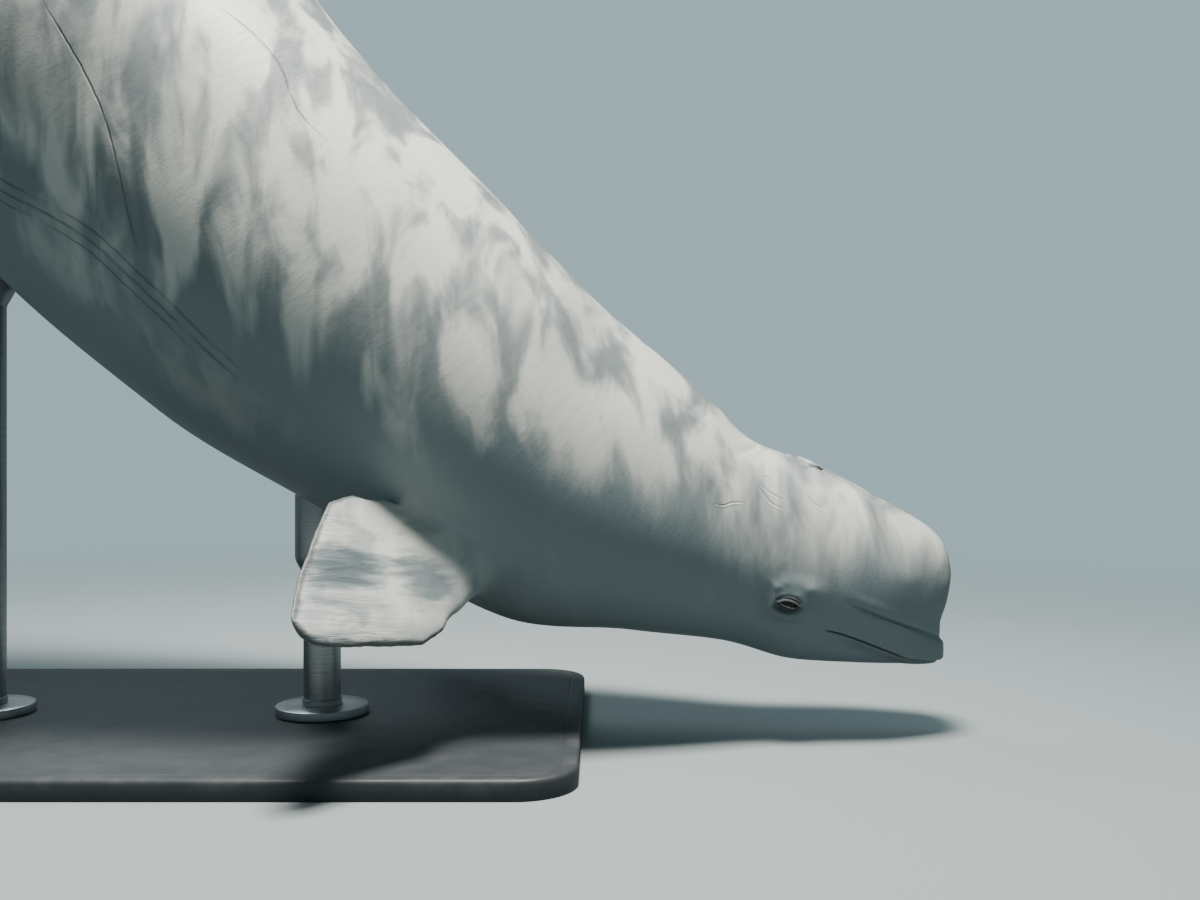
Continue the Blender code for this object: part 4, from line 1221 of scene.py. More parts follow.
def path_coordinates(points: Array, path: Table) -> Array:
    """Where points lie beside a path on a flank.

    Args:
        points: Straight points in rows.
        path: The path, back and up.

    Returns:
        For each point, how far it is across the path, with a sign, and how far along it, in metres, and 0.
    """
    line = smooth_path(path)
    flat = points[:, [0, 2]]
    best = np.full(len(flat), 1e9)
    across, along = np.zeros(len(flat)), np.zeros(len(flat))
    gone = 0.0
    last = len(line) - 2
    for i, (start, end) in enumerate(zip(line[:-1], line[1:])):
        way = end - start
        length = float(np.linalg.norm(way))
        way = way / length
        t = (flat - start) @ way
        held = np.clip(t, -1e9 if i == 0 else 0.0, 1e9 if i == last else length)
        gap = flat - start - held[:, None] * way
        distance = np.linalg.norm(gap, axis=-1)
        nearer = distance < best
        signed = (flat - start)[:, 0] * way[1] - (flat - start)[:, 1] * way[0]
        best = np.where(nearer, distance, best)
        across = np.where(nearer, np.sign(signed) * distance, across)
        along = np.where(nearer, gone + held, along)
        gone += length
    return np.stack([across, along, np.zeros(len(flat))], axis=-1)


def furrow_places(points: Array, furrows: Sequence[tuple[Table, float]]) -> Array:
    """Where points lie beside the nearest of several furrows, which never run close to each other.

    Args:
        points: Straight points in rows.
        furrows: Each furrow's path, back and up and running forward, and its depth.

    Returns:
        For each point, how far it is above the furrow, how far along, and the furrow's depth there, all in metres.
    """
    values = np.zeros((len(points), 3)) + np.array([1.0, 0.0, 0.0])
    best = np.ones(len(points))
    for side in Side:
        here = np.where(np.sign(points[:, 1]) == side.value)[0]
        for path, depth in furrows:
            wrinkle = path[0][1] > 0
            moved = np.array([0.010, -0.006]) if wrinkle and side is Side.LEFT else np.zeros(2)
            line = np.array(path) + moved
            low, high = line.min(axis=0) - 0.03, line.max(axis=0) + 0.03
            close = here[np.all((points[here][:, [0, 2]] > low) & (points[here][:, [0, 2]] < high), axis=1)]
            if not len(close):
                continue
            places = path_coordinates(points[close], tuple(map(tuple, line)))
            length = float(np.sum(np.linalg.norm(np.diff(line, axis=0), axis=1)))
            fade = np.sin(math.pi * np.clip(places[:, 1] / length, 0.0, 1.0)) ** 1.2
            places[:, 2] = depth * fade * (1.0 - eased(np.abs(places[:, 0]), 0.0070, 0.0100))
            beyond = np.maximum(np.maximum(-places[:, 1], places[:, 1] - length), 0.0)
            reach = np.hypot(places[:, 0], beyond)
            nearer = reach < best[close]
            values[close[nearer]] = places[nearer]
            best[close[nearer]] = reach[nearer]
    return values


@dataclass(frozen=True)
class SkinFinish:
    """Pale, faintly mottled skin, with dark rims along the limbs that are partly painted shade, and with painted light
    and shade: paler above a shade line and greyer below it, dappled with painted light, with painted shade in its
    folds, grooves and round the eye, and painted highlights on the ridges of its furrows.
    """

    pale: Colour = (0.89, 0.90, 0.83)
    grey: Colour = (0.37, 0.44, 0.46)
    shade: Colour = (0.24, 0.30, 0.32)
    dark: Colour = (0.10, 0.11, 0.11)
    # The near-black of the lids, painted shade against the light that falls on them.
    lid: Colour = (0.045, 0.050, 0.052)
    # The dark grey of the flipper blotches and of the painted shade between the pools of light.
    deep: Colour = (0.12, 0.155, 0.17)

    def material(self, effects: SharedEffects) -> bpy.types.Material:
        """The finish as a material."""
        look, make, shader = new_material("beluga_skin")
        straight = make.attribute("straight").outputs["Vector"]
        back, side, up = make.parts(straight)
        limb_share, limb_edge, on_limb = make.parts(make.attribute("limb").outputs["Vector"])
        hollow = make.attribute("hollow").outputs["Fac"]
        place = make.add("ShaderNodeTexCoord").outputs["Object"]
        clouds = make.noise(make.scaled(straight, (1.5, 1.2, 1.0)), 2.4, 4.0, 0.55, 0.4)
        # Painted dappled light: a soft noise of light pools and shade on the upper flanks, which also gives faint skin
        # mottling.
        light_dapple = make.noise(make.scaled(place, (14.0, 8.5, 4.6)), 1.0, 3.0, 0.50, 0.5)
        contrast = make.math("MULTIPLY", make.math("SUBTRACT", light_dapple, 0.5), make.band(back, 0.30, 0.80, 0.60, 1.0))
        light_dapple = make.math("ADD", contrast, 0.5)
        streak = make.noise(make.scaled(place, (34.0, 16.0, 9.0)), 1.0, 4.0, 0.6, 0.6)
        speck = make.noise(straight, 95.0, 3.0, 0.65)
        # Painted light and shade: paler above the shade line, where the light falls from above, and darker below it.
        over_line, low_light, _ = make.parts(make.attribute("light_and_shade").outputs["Vector"])
        ragged = make.math("MULTIPLY", make.math("SUBTRACT", light_dapple, 0.5), make.band(back, 0.35, 0.85, 0.10, 0.26))
        high = make.math("ADD", over_line, ragged)
        above = make.band(high, -0.085, 0.075)
        # Painted light: above the shade line the skin is paler where the dapple is bright.
        lit = make.math("MULTIPLY", above, make.band(light_dapple, 0.36, 0.63))
        grey = make.band(clouds, 0.30, 0.70, 0.50, 0.82)
        grey = make.math("ADD", grey, make.band(streak, 0.40, 0.72, -0.08, 0.14))
        # Painted shade: greyer below the shade line.
        below = make.math("SUBTRACT", 1.0, above)
        grey = make.math("ADD", grey, make.math("MULTIPLY", below, 0.46))
        # Painted light: the flippers' upper faces are painted as lit, a little dappled.
        lit = make.math("MAXIMUM", lit, make.math("MULTIPLY", on_limb, make.band(light_dapple, 0.40, 0.58, 0.70, 1.0)))
        # Painted reflected light: lighter patches in the band low on the flank.
        reflected_light_patch = make.math("MULTIPLY", low_light, make.band(light_dapple, 0.36, 0.58))
        grey = make.math("SUBTRACT", grey, make.math("MULTIPLY", lit, 0.92))
        grey = make.math("SUBTRACT", grey, make.math("MULTIPLY", reflected_light_patch, 0.55))
        plan = make.attribute("plan").outputs["Vector"]
        along = make.parts(plan)[0]
        rays = make.noise(make.scaled(plan, (9.0, 62.0, 1.0)), 1.0, 4.0, 0.6, 0.5)
        patch = make.noise(make.scaled(plan, (8.0, 17.0, 1.0)), 1.0, 3.0, 0.5, 0.6)
        outer = make.math("MULTIPLY", on_limb, make.band(along, 0.12, 0.30))
        raised = make.math("MULTIPLY", outer, make.math("SUBTRACT", rays, 0.5))
        grey = make.math("ADD", grey, make.math("MULTIPLY", raised, -1.5))
        # Dark blotches on the flippers: partly skin mottling, partly painted shade in the dappled light.
        blotch = make.band(patch, 0.48, 0.66, 0.0, 0.30)
        for middle, scale, strength in (((0.245, 0.034, 0.0), (0.30, 0.9, 0.0), 0.95), ((0.100, 0.054, 0.0), (0.5, 0.6, 0.0), 0.70)):
            gap = make.add("ShaderNodeVectorMath", operation="SUBTRACT")
            make.feed(gap.inputs[0], plan)
            make.feed(gap.inputs[1], middle)
            reach = make.add("ShaderNodeVectorMath", operation="LENGTH")
            make.feed(reach.inputs[0], make.scaled(gap.outputs[0], scale))
            frayed = make.math("ADD", reach.outputs["Value"], make.math("MULTIPLY", make.math("SUBTRACT", rays, 0.5), 0.05))
            blotch = make.math("ADD", blotch, make.band(frayed, 0.038, 0.006, 0.0, strength))
        grey = make.math("ADD", grey, make.math("MULTIPLY", blotch, on_limb), clamp=True)
        colour = make.mix(grey, self.pale, self.grey)
        blotch = make.math("MULTIPLY", blotch, on_limb, clamp=True)
        colour = make.mix(make.math("MULTIPLY", blotch, 0.92), colour, self.deep)
        # Painted shade: darker patches between the pools of painted light, above the shade line.
        dapple_shade = make.math("MULTIPLY", above, make.band(light_dapple, 0.59, 0.33, 0.0, 0.66))
        dapple_shade = make.math("MULTIPLY", dapple_shade, make.math("SUBTRACT", 1.0, on_limb))
        dapple_shade = make.math("MULTIPLY", dapple_shade, make.band(back, 1.90, 2.80, 1.0, 0.50))
        dapple_shade = make.math("MULTIPLY", dapple_shade, make.band(side, -0.05, 0.25, 1.0, 0.62))
        colour = make.mix(dapple_shade, colour, self.deep)
        # Painted shade: below the shade line the skin is mixed towards the shade colour, less so in the band of painted
        # low light.
        lower = make.math("MULTIPLY", below, make.math("SUBTRACT", 1.0, on_limb))
        lower = make.math("MULTIPLY", lower, make.math("SUBTRACT", 0.42, make.math("MULTIPLY", reflected_light_patch, 0.34)))
        colour = make.mix(lower, colour, self.shade)
        # Painted shade round the eye: a dark patch, partly darker skin and partly painted shade, and the lids close
        # round the slit painted almost black.
        aside = make.math("ABSOLUTE", side)
        socket = make.add("ShaderNodeCombineXYZ", {"X": back, "Y": aside, "Z": up}).outputs[0]
        gap = make.add("ShaderNodeVectorMath", operation="SUBTRACT")
        make.feed(gap.inputs[0], socket)
        make.feed(gap.inputs[1], (0.345, 0.156, -0.073))
        near_eye = make.add("ShaderNodeVectorMath", operation="LENGTH")
        make.feed(near_eye.inputs[0], make.scaled(gap.outputs[0], (0.80, 0.4, 1.20)))
        eye_shade = make.math("ADD", near_eye.outputs["Value"], make.math("MULTIPLY", make.math("SUBTRACT", streak, 0.5), 0.03))
        colour = make.mix(make.band(eye_shade, 0.064, 0.018, 0.0, 0.60), colour, self.shade)
        colour = make.mix(make.band(near_eye.outputs["Value"], 0.028, 0.015, 0.0, 0.96), colour, self.lid)
        colour = make.mix(make.band(speck, 0.60, 0.78, 0.0, 0.18), colour, self.shade)
        # Painted shade in the folds, the lids' slit, the eye's socket and the blowhole, by how deep each point lies.
        folds = make.band(hollow, 0.0008, 0.0070)
        colour = make.mix(make.math("MULTIPLY", folds, 0.86), colour, self.dark)
        soft_fold_shade = make.band(hollow, 0.0, 0.0025, 0.0, 0.22)
        colour = make.mix(soft_fold_shade, colour, self.shade)
        # A dark rim along the limbs' edges: partly the darker skin of the edge, partly painted shade on the rounded
        # edge.
        rim_noise = make.noise(straight, 34.0, 4.0, 0.6)
        rim_width = make.math("MULTIPLY", rim_noise, make.band(limb_share, 0.30, 0.80, 0.013, 0.026))
        rim = make.math("SUBTRACT", 1.0, make.math("DIVIDE", limb_edge, rim_width), clamp=True)
        rim = make.math("MULTIPLY", make.band(rim, 0.0, 0.7), make.band(limb_share, 0.16, 0.30))
        rim = make.math("MULTIPLY", rim, on_limb)
        colour = make.mix(make.math("MULTIPLY", rim, 0.84), colour, self.dark)
        lines = None
        for name, offset, width, length in (
            ("rake", 0.0, 0.0034, 0.64),
            ("rake", 0.017, 0.0030, 0.60),
            ("rake", -0.016, 0.0024, 0.55),
            ("scar", 0.0, 0.0030, 0.48),
            ("scratch", 0.0, 0.0026, 0.36),
        ):
            node = make.add("ShaderNodeGroup", node_tree=effects.line)
            make.feed(node.inputs["Mark"], make.attribute(name).outputs["Vector"])
            for label, value in (("Offset", offset), ("Width", width), ("Length", length)):
                make.feed(node.inputs[label], value)
            lines = node.outputs[0] if lines is None else make.math("MAXIMUM", lines, node.outputs[0])
        lines = make.math("MULTIPLY", lines, make.math("SUBTRACT", 1.0, on_limb))
        furrowed, pressed, crest_highlight = None, None, None
        for name in FURROWS:
            node = make.add("ShaderNodeGroup", node_tree=effects.furrow)
            make.feed(node.inputs["Mark"], make.attribute(name).outputs["Vector"])
            furrowed = node.outputs["Height"] if furrowed is None else make.math("ADD", furrowed, node.outputs["Height"])
            pressed = node.outputs["Mask"] if pressed is None else make.math("MAXIMUM", pressed, node.outputs["Mask"])
            crest_highlight = node.outputs["Crest"] if crest_highlight is None else make.math("MAXIMUM", crest_highlight, node.outputs["Crest"])
        # Painted highlight on the ridges of the furrows, and painted shade in their grooves.
        colour = make.mix(make.math("MULTIPLY", crest_highlight, 0.42), colour, self.pale)
        colour = make.mix(make.math("MULTIPLY", pressed, 0.32), colour, self.shade)
        colour = make.mix(make.math("MULTIPLY", lines, 0.55), colour, self.dark)
        make.feed(shader.inputs["Base Color"], colour)
        rough = make.math("ADD", make.math("MULTIPLY", clouds, 0.16), 0.34)
        rough = make.math("ADD", rough, make.math("MULTIPLY", lines, 0.2))
        dull = make.band(near_eye.outputs["Value"], 0.030, 0.014)
        make.feed(shader.inputs["Roughness"], make.math("ADD", rough, make.math("MULTIPLY", dull, 0.3)))
        make.feed(shader.inputs["Coat Weight"], make.math("SUBTRACT", 0.18, make.math("MULTIPLY", dull, 0.14)))
        shader.inputs["Coat Roughness"].default_value = 0.28
        shader.inputs["IOR"].default_value = 1.42
        grain = make.add("ShaderNodeGroup", node_tree=effects.grain)
        make.feed(grain.inputs["Place"], straight)
        make.feed(grain.inputs["Size"], 260.0)
        weave = make.noise(make.scaled(straight, (70.0, 26.0, 22.0)), 1.0, 3.0, 0.6)
        height = make.math("MULTIPLY", grain.outputs["Height"], 0.00022)
        height = make.math("ADD", height, make.math("MULTIPLY", weave, 0.0007))
        height = make.math("SUBTRACT", height, make.math("MULTIPLY", lines, 0.0012))
        height = make.math("ADD", height, make.math("MULTIPLY", raised, 0.0050))
        height = make.math("ADD", height, furrowed)
        bump = make.add("ShaderNodeBump", {"Height": height, "Strength": 1.0, "Distance": 1.0})
        make.feed(shader.inputs["Normal"], bump.outputs[0])
        return look


@dataclass(frozen=True)
class EyeFinish:
    """A dark wet eye with a brown iris and a wide dark pupil."""

    white: Colour = (0.20, 0.17, 0.14)
    iris: Colour = (0.050, 0.028, 0.014)
    pupil: Colour = (0.004, 0.004, 0.005)

    def material(self) -> bpy.types.Material:
        """The finish as a material."""
        look, make, shader = new_material("beluga_eye")
        place = make.attribute("eyeball").outputs["Vector"]
        across, _, upward = make.parts(place)
        wide = make.math("MULTIPLY", across, 0.62)
        pupil = make.math("SQRT", make.math("ADD", make.math("POWER", wide, 2.0), make.math("POWER", upward, 2.0)))
        ring = make.math("SQRT", make.math("ADD", make.math("POWER", across, 2.0), make.math("POWER", upward, 2.0)))
        fibres = make.noise(make.scaled(place, (900.0, 200.0, 900.0)), 1.0, 3.0)
        iris = make.mix(make.band(fibres, 0.35, 0.7), self.iris, (0.11, 0.065, 0.03))
        colour = make.mix(make.band(pupil, 0.0036, 0.0046), self.pupil, iris)
        colour = make.mix(make.band(ring, 0.0100, 0.0125), colour, self.white)
        make.feed(shader.inputs["Base Color"], colour)
        make.feed(shader.inputs["Roughness"], make.band(fibres, 0.2, 0.8, 0.05, 0.12))
        shader.inputs["Coat Weight"].default_value = 1.0
        shader.inputs["Coat Roughness"].default_value = 0.03
        return look


@dataclass(frozen=True)
class PaintFinish:
    """Fine powder paint, a little worn along its edges."""

    colour: Colour = (0.060, 0.068, 0.074)
    worn: Colour = (0.16, 0.17, 0.18)

    def material(self, effects: SharedEffects) -> bpy.types.Material:
        """The finish as a material."""
        look, make, shader = new_material("stand_paint")
        place = make.add("ShaderNodeTexCoord").outputs["Object"]
        grain = make.add("ShaderNodeGroup", node_tree=effects.grain)
        make.feed(grain.inputs["Place"], place)
        make.feed(grain.inputs["Size"], 420.0)
        edge = make.attribute("edge_wear").outputs["Fac"]
        worn = make.math("MULTIPLY", edge, make.band(grain.outputs["Patch"], 0.45, 0.75))
        patch = make.band(grain.outputs["Patch"], 0.3, 0.7, 0.0, 0.10)
        colour = make.mix(make.math("ADD", patch, make.math("MULTIPLY", worn, 0.35)), self.colour, self.worn)
        make.feed(shader.inputs["Base Color"], colour)
        make.feed(shader.inputs["Roughness"], make.band(grain.outputs["Patch"], 0.3, 0.7, 0.42, 0.54))
        height = make.math("MULTIPLY", grain.outputs["Height"], 0.00012)
        bump = make.add("ShaderNodeBump", {"Height": height, "Strength": 0.8, "Distance": 1.0})
        make.feed(shader.inputs["Normal"], bump.outputs[0])
        return look


@dataclass(frozen=True)
class SteelFinish:
    """Stainless steel, brushed round the rods."""

    colour: Colour = (0.58, 0.59, 0.60)

    def material(self, effects: SharedEffects) -> bpy.types.Material:
        """The finish as a material."""
        look, make, shader = new_material("stand_steel")
        place = make.add("ShaderNodeTexCoord").outputs["Object"]
        brushed = make.noise(make.scaled(place, (6.0, 6.0, 900.0)), 1.0, 3.0, 0.7)
        grain = make.add("ShaderNodeGroup", node_tree=effects.grain)
        make.feed(grain.inputs["Place"], place)
        make.feed(grain.inputs["Size"], 200.0)
        make.feed(shader.inputs["Base Color"], make.mix(make.band(brushed, 0.3, 0.7, 0.0, 0.35), self.colour, (0.40, 0.41, 0.42)))
        rough = make.math("ADD", make.band(brushed, 0.3, 0.7, 0.22, 0.36), make.band(grain.outputs["Patch"], 0.4, 0.7, 0.0, 0.08))
        make.feed(shader.inputs["Roughness"], rough)
        shader.inputs["Metallic"].default_value = 1.0
        height = make.math("MULTIPLY", brushed, 0.00006)
        bump = make.add("ShaderNodeBump", {"Height": height, "Strength": 0.6, "Distance": 1.0})
        make.feed(shader.inputs["Normal"], bump.outputs[0])
        return look


def deselect_all() -> None:
    """Deselects every object."""
    bpy.ops.object.select_all(action="DESELECT")


def store(mesh: bpy.types.Mesh, name: str, values: Array) -> None:
    """Keeps one number or vector for each point of a mesh."""
    kind = "FLOAT_VECTOR" if values.ndim == 2 else "FLOAT"
    layer = mesh.attributes.new(name, kind, "POINT")
    layer.data.foreach_set("vector" if values.ndim == 2 else "value", values.astype(np.float32).ravel())


def point_places(mesh: bpy.types.Mesh) -> Array:
    """The places of a mesh's points."""
    places = np.empty(len(mesh.vertices) * 3)
    mesh.vertices.foreach_get("co", places)
    return places.reshape(-1, 3)


def outwards(piece: bpy.types.Object) -> None:
    """Turns a closed piece's faces outwards, in edit mode."""
    deselect_all()
    bpy.context.view_layer.objects.active = piece
    piece.select_set(True)
    bpy.ops.object.mode_set(mode="EDIT")
    bpy.ops.mesh.select_all(action="SELECT")
    bpy.ops.mesh.normals_make_consistent(inside=False)
    bpy.ops.object.mode_set(mode="OBJECT")


@dataclass
class Skin:
    """The dressed skin, in the place of all the nodes of flesh."""

    whale: Whale
    finish: SkinFinish
    nodes: tuple[str, ...] = (
        "head", "lower_jaw", "neck", "chest", "belly", "loin", "tail_stock",
        "flipper_left", "flipper_right", "fluke_left", "fluke_right",
    )  # fmt: skip

    def plan_places(self, straight: Array) -> Array:
        """How far points lie out along and across the limb nearest to them, and off its plane, in metres."""
        values = straight - np.array([4.0, 0.0, 0.0])
        values = np.stack([np.abs(values[:, 1]), -values[:, 0], values[:, 2]], axis=-1)
        for side in Side:
            root, span, chord, lift = Flipper(side=side).axes()
            here = (np.sign(straight[:, 1]) == side.value) & (straight[:, 0] < 2.0)
            along, aside = 0.958 * span - 0.286 * chord, 0.286 * span + 0.958 * chord
            values[here] = (straight[here] - root) @ np.stack([along, aside, lift], axis=-1)
        return values

    def build(self, effects: SharedEffects) -> bpy.types.Object:
        """Makes the skin's mesh, its marks and its material."""
        gathered = self.whale.gather()
        straight = np.concatenate(gathered.straight)
        used = np.unique(np.concatenate([np.array(face) for face in gathered.faces]))
        order = np.full(len(straight), -1)
        order[used] = np.arange(len(used))
        straight = straight[used]
        mesh = bpy.data.meshes.new("whale_skin")
        places = self.whale.spine.bend(straight)
        mesh.from_pydata(places.tolist(), [], [tuple(int(order[n]) for n in face) for face in gathered.faces])
        piece = bpy.data.objects.new("whale_skin", mesh)
        bpy.context.scene.collection.objects.link(piece)
        store(mesh, "straight", straight)
        store(mesh, "hollow", np.concatenate(gathered.hollow)[used])
        store(mesh, "limb", np.concatenate(gathered.limb)[used])
        for name in ("rake", "scar", "scratch"):
            values = np.zeros((len(straight), 3)) + np.array([1.0, -1.0, 0.0])
            for scar in SCARS:
                if scar.attribute == name:
                    here = np.sign(straight[:, 1]) == scar.side.value
                    values[here] = path_coordinates(straight[here], scar.path)
            store(mesh, name, values)
        for name, furrows in FURROWS.items():
            store(mesh, name, furrow_places(straight, furrows))
        store(mesh, "plan", self.plan_places(straight))
        # Painted light and shade: each point's height over the shade line, and the band low on the flank that is
        # painted as lit from below.
        line = smooth_stations(SHADE_LINE, 1, straight[:, 0])
        low = hump(straight[:, 2] - smooth_stations(LOW_LIGHT, 1, straight[:, 0]), 0.040)
        low = low * eased(straight[:, 0], 1.10, 1.35) * (1.0 - eased(straight[:, 0], 2.4, 2.8))
        store(mesh, "light_and_shade", np.stack([straight[:, 2] - line, low, np.zeros(len(low))], axis=-1))
        outwards(piece)
        mesh.materials.append(self.finish.material(effects))
        for face in mesh.polygons:
            face.use_smooth = True
        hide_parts(*self.nodes)
        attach(piece, "root")
        return piece


@dataclass
class Eyes:
    """The two eyeballs behind the lids."""

    whale: Whale
    finish: EyeFinish

    def build_one(self, side: Side, look: bpy.types.Material) -> bpy.types.Object:
        """Models one eyeball: a globe with a slightly raised clear front."""
        deselect_all()
        bpy.ops.mesh.primitive_uv_sphere_add(segments=64, ring_count=40, radius=self.whale.eye_radius)
        piece = bpy.context.object
        word = side.name.lower()
        piece.name = piece.data.name = f"whale_eye_{word}"
        local = point_places(piece.data)
        front = local[:, 2] / self.whale.eye_radius
        local[:, 2] += 0.0006 * np.clip((front - 0.80) / 0.20, 0.0, 1.0) ** 1.5
        turned = np.stack([local[:, 0], local[:, 2] * side.value, local[:, 1]], axis=-1)
        back, out, up = self.whale.eye
        straight = turned + np.array([back, side.value * out, up])
        piece.data.vertices.foreach_set("co", self.whale.spine.bend(straight).ravel())
        store(piece.data, "eyeball", turned)
        outwards(piece)
        bpy.ops.object.shade_smooth()
        piece.data.materials.append(look)
        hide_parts(f"eye_{word}")
        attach(piece, "root")
        return piece

    def build(self) -> list[bpy.types.Object]:
        """Models both eyeballs."""
        look = self.finish.material()
        return [self.build_one(side, look) for side in Side]


@dataclass
class Stand:
    """The flat base and the two rods that carry the whale."""

    length: float = 1.70
    width: float = 0.96
    thickness: float = 0.035
    corner: float = 0.10
    rim: float = 0.008

    def build_base(self, look: bpy.types.Material) -> bpy.types.Object:
        """Models the base: a slab with round corners, a bevelled rim and a fine line inside it."""
        deselect_all()
        bpy.ops.mesh.primitive_cube_add(size=1.0, location=(0.0, 0.0, self.thickness / 2))
        piece = bpy.context.object
        piece.name = piece.data.name = "stand_base_slab"
        piece.scale = (self.length, self.width, self.thickness)
        bpy.ops.object.transform_apply(location=True, rotation=True, scale=True)
        self.bevel(piece, lambda a, b: abs(a[2] - b[2]) > 0.01, self.corner, 14)
        top = self.thickness - 1e-4
        self.bevel(piece, lambda a, b: min(a[2], b[2]) > top, self.rim, 4)
        self.bevel(piece, lambda a, b: max(a[2], b[2]) < 1e-4, 0.002, 2)
        self.groove_top(piece)
        places = point_places(piece.data)
        inner = np.maximum(np.abs(places[:, 0]) - self.length / 2, np.abs(places[:, 1]) - self.width / 2)
        store(piece.data, "edge_wear", np.where((inner > -0.012) & (places[:, 2] > 0.02), 1.0, 0.0))
        bpy.ops.object.shade_smooth_by_angle(angle=math.radians(32))
        piece.data.materials.append(look)
        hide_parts("stand_base")
        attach(piece, "root")
        return piece

    def bevel(
        self, piece: bpy.types.Object, wanted: Callable[[Array, Array], bool], size: float, segments: int
    ) -> None:
        """Bevels the edges whose two ends pass a test.

        Args:
            piece: The object.
            wanted: Tells from an edge's two ends whether it is bevelled.
            size: How wide the bevel is, in metres.
            segments: How many faces it has across.
        """
        bpy.ops.object.mode_set(mode="EDIT")
        bpy.ops.mesh.select_mode(type="EDGE")
        bpy.ops.mesh.select_all(action="DESELECT")
        bpy.ops.object.mode_set(mode="OBJECT")
        mesh = piece.data
        for edge in mesh.edges:
            first, second = (mesh.vertices[n].co for n in edge.vertices)
            outer = len([1 for face in mesh.polygons if set(edge.vertices) <= set(face.vertices)]) == 2
            edge.select = bool(outer and wanted(first, second))
        bpy.ops.object.mode_set(mode="EDIT")
        bpy.ops.mesh.bevel(offset=size, segments=segments, affect="EDGES", profile=0.5)
        bpy.ops.object.mode_set(mode="OBJECT")

    def groove_top(self, piece: bpy.types.Object) -> None:
        """Sinks a shallow shadow line into the top, inside the rim."""
        mesh = piece.data
        bpy.ops.object.mode_set(mode="EDIT")
        bpy.ops.mesh.select_mode(type="FACE")
        bpy.ops.mesh.select_all(action="DESELECT")
        bpy.ops.object.mode_set(mode="OBJECT")
        tops = [face for face in mesh.polygons if face.normal.z > 0.99]
        largest = max(tops, key=lambda face: face.area)
        largest.select = True
        bpy.ops.object.mode_set(mode="EDIT")
        bpy.ops.mesh.inset(thickness=0.018)
        bpy.ops.mesh.inset(thickness=0.0008)
        bpy.ops.mesh.inset(thickness=0.0024, depth=-0.0012)
        bpy.ops.mesh.inset(thickness=0.0024, depth=0.0012)
        bpy.ops.mesh.inset(thickness=0.0008)
        bpy.ops.object.mode_set(mode="OBJECT")

    def build_turned(self, name: str, node: str, profile: Table, look: bpy.types.Material) -> bpy.types.Object:
        """Models a turned piece over a node, from a cylinder whose top is extruded ring by ring.

        Args:
            name: The piece's name.
            node: The node it stands for, whose middle it takes.
            profile: Radius and height of each ring, from the bottom.
            look: Its material.

        Returns:
            The piece.
        """
        low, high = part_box(node)
        middle = ((low[0] + high[0]) / 2, (low[1] + high[1]) / 2)
        deselect_all()
        radius, bottom = profile[0]
        rise = profile[1][1] - bottom
        bpy.ops.mesh.primitive_cylinder_add(
            vertices=96, radius=radius, depth=rise, location=(*middle, bottom + rise / 2)
        )
        piece = bpy.context.object
        piece.name = piece.data.name = name
        bpy.ops.object.transform_apply(location=True, rotation=True, scale=True)
        bpy.ops.object.mode_set(mode="EDIT")
        bpy.ops.mesh.select_mode(type="VERT")
        bpy.ops.mesh.select_all(action="DESELECT")
        bpy.ops.object.mode_set(mode="OBJECT")
        for vertex in piece.data.vertices:
            vertex.select = vertex.co.z > bottom + rise / 2
        bpy.ops.object.mode_set(mode="EDIT")
        radius, height = profile[1]
        bpy.ops.transform.resize(value=(radius / profile[0][0], radius / profile[0][0], 1.0))
        for new_radius, new_height in profile[2:]:
            bpy.ops.mesh.extrude_region_move(TRANSFORM_OT_translate={"value": (0.0, 0.0, new_height - height)})
            scale = new_radius / radius
            bpy.ops.transform.resize(
                value=(scale, scale, 1.0), center_override=(middle[0], middle[1], new_height)
            )
            radius, height = new_radius, new_height
        bpy.ops.mesh.select_all(action="SELECT")
        bpy.ops.mesh.normals_make_consistent(inside=False)
        bpy.ops.object.mode_set(mode="OBJECT")
        bpy.ops.object.shade_smooth_by_angle(angle=math.radians(32))
        piece.data.materials.append(look)
        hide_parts(node)
        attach(piece, "root")
        return piece

    def build(self, paint: PaintFinish, steel: SteelFinish, effects: SharedEffects) -> list[bpy.types.Object]:
        """Models the whole stand."""
        pieces = [self.build_base(paint.material(effects))]
        look = steel.material(effects)
        for word in ("front", "rear"):
            low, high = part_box(f"stand_rod_{word}")
            floor = self.thickness
            flange = (
                (0.0885, floor + 0.0003), (0.0900, floor + 0.0018), (0.0900, floor + 0.0140),
                (0.0888, floor + 0.0168), (0.0860, floor + 0.0180), (0.0470, floor + 0.0182),
            )  # fmt: skip
            pieces.append(self.build_turned(f"stand_collar_{word}", f"stand_flange_{word}", flange, look))
            top = high[2]
            neck = low[2] + (top - low[2]) * 0.30
            rod = (
                (0.0385, low[2]), (0.0385, low[2] + 0.010), (0.0360, low[2] + 0.0125), (0.0360, neck),
                (0.0360, top - 0.165), (0.0375, top - 0.158), (0.0500, top - 0.134), (0.0520, top - 0.126),
                (0.0520, top - 0.004),
            )  # fmt: skip
            pieces.append(self.build_turned(f"stand_post_{word}", f"stand_rod_{word}", rod, look))
        return pieces


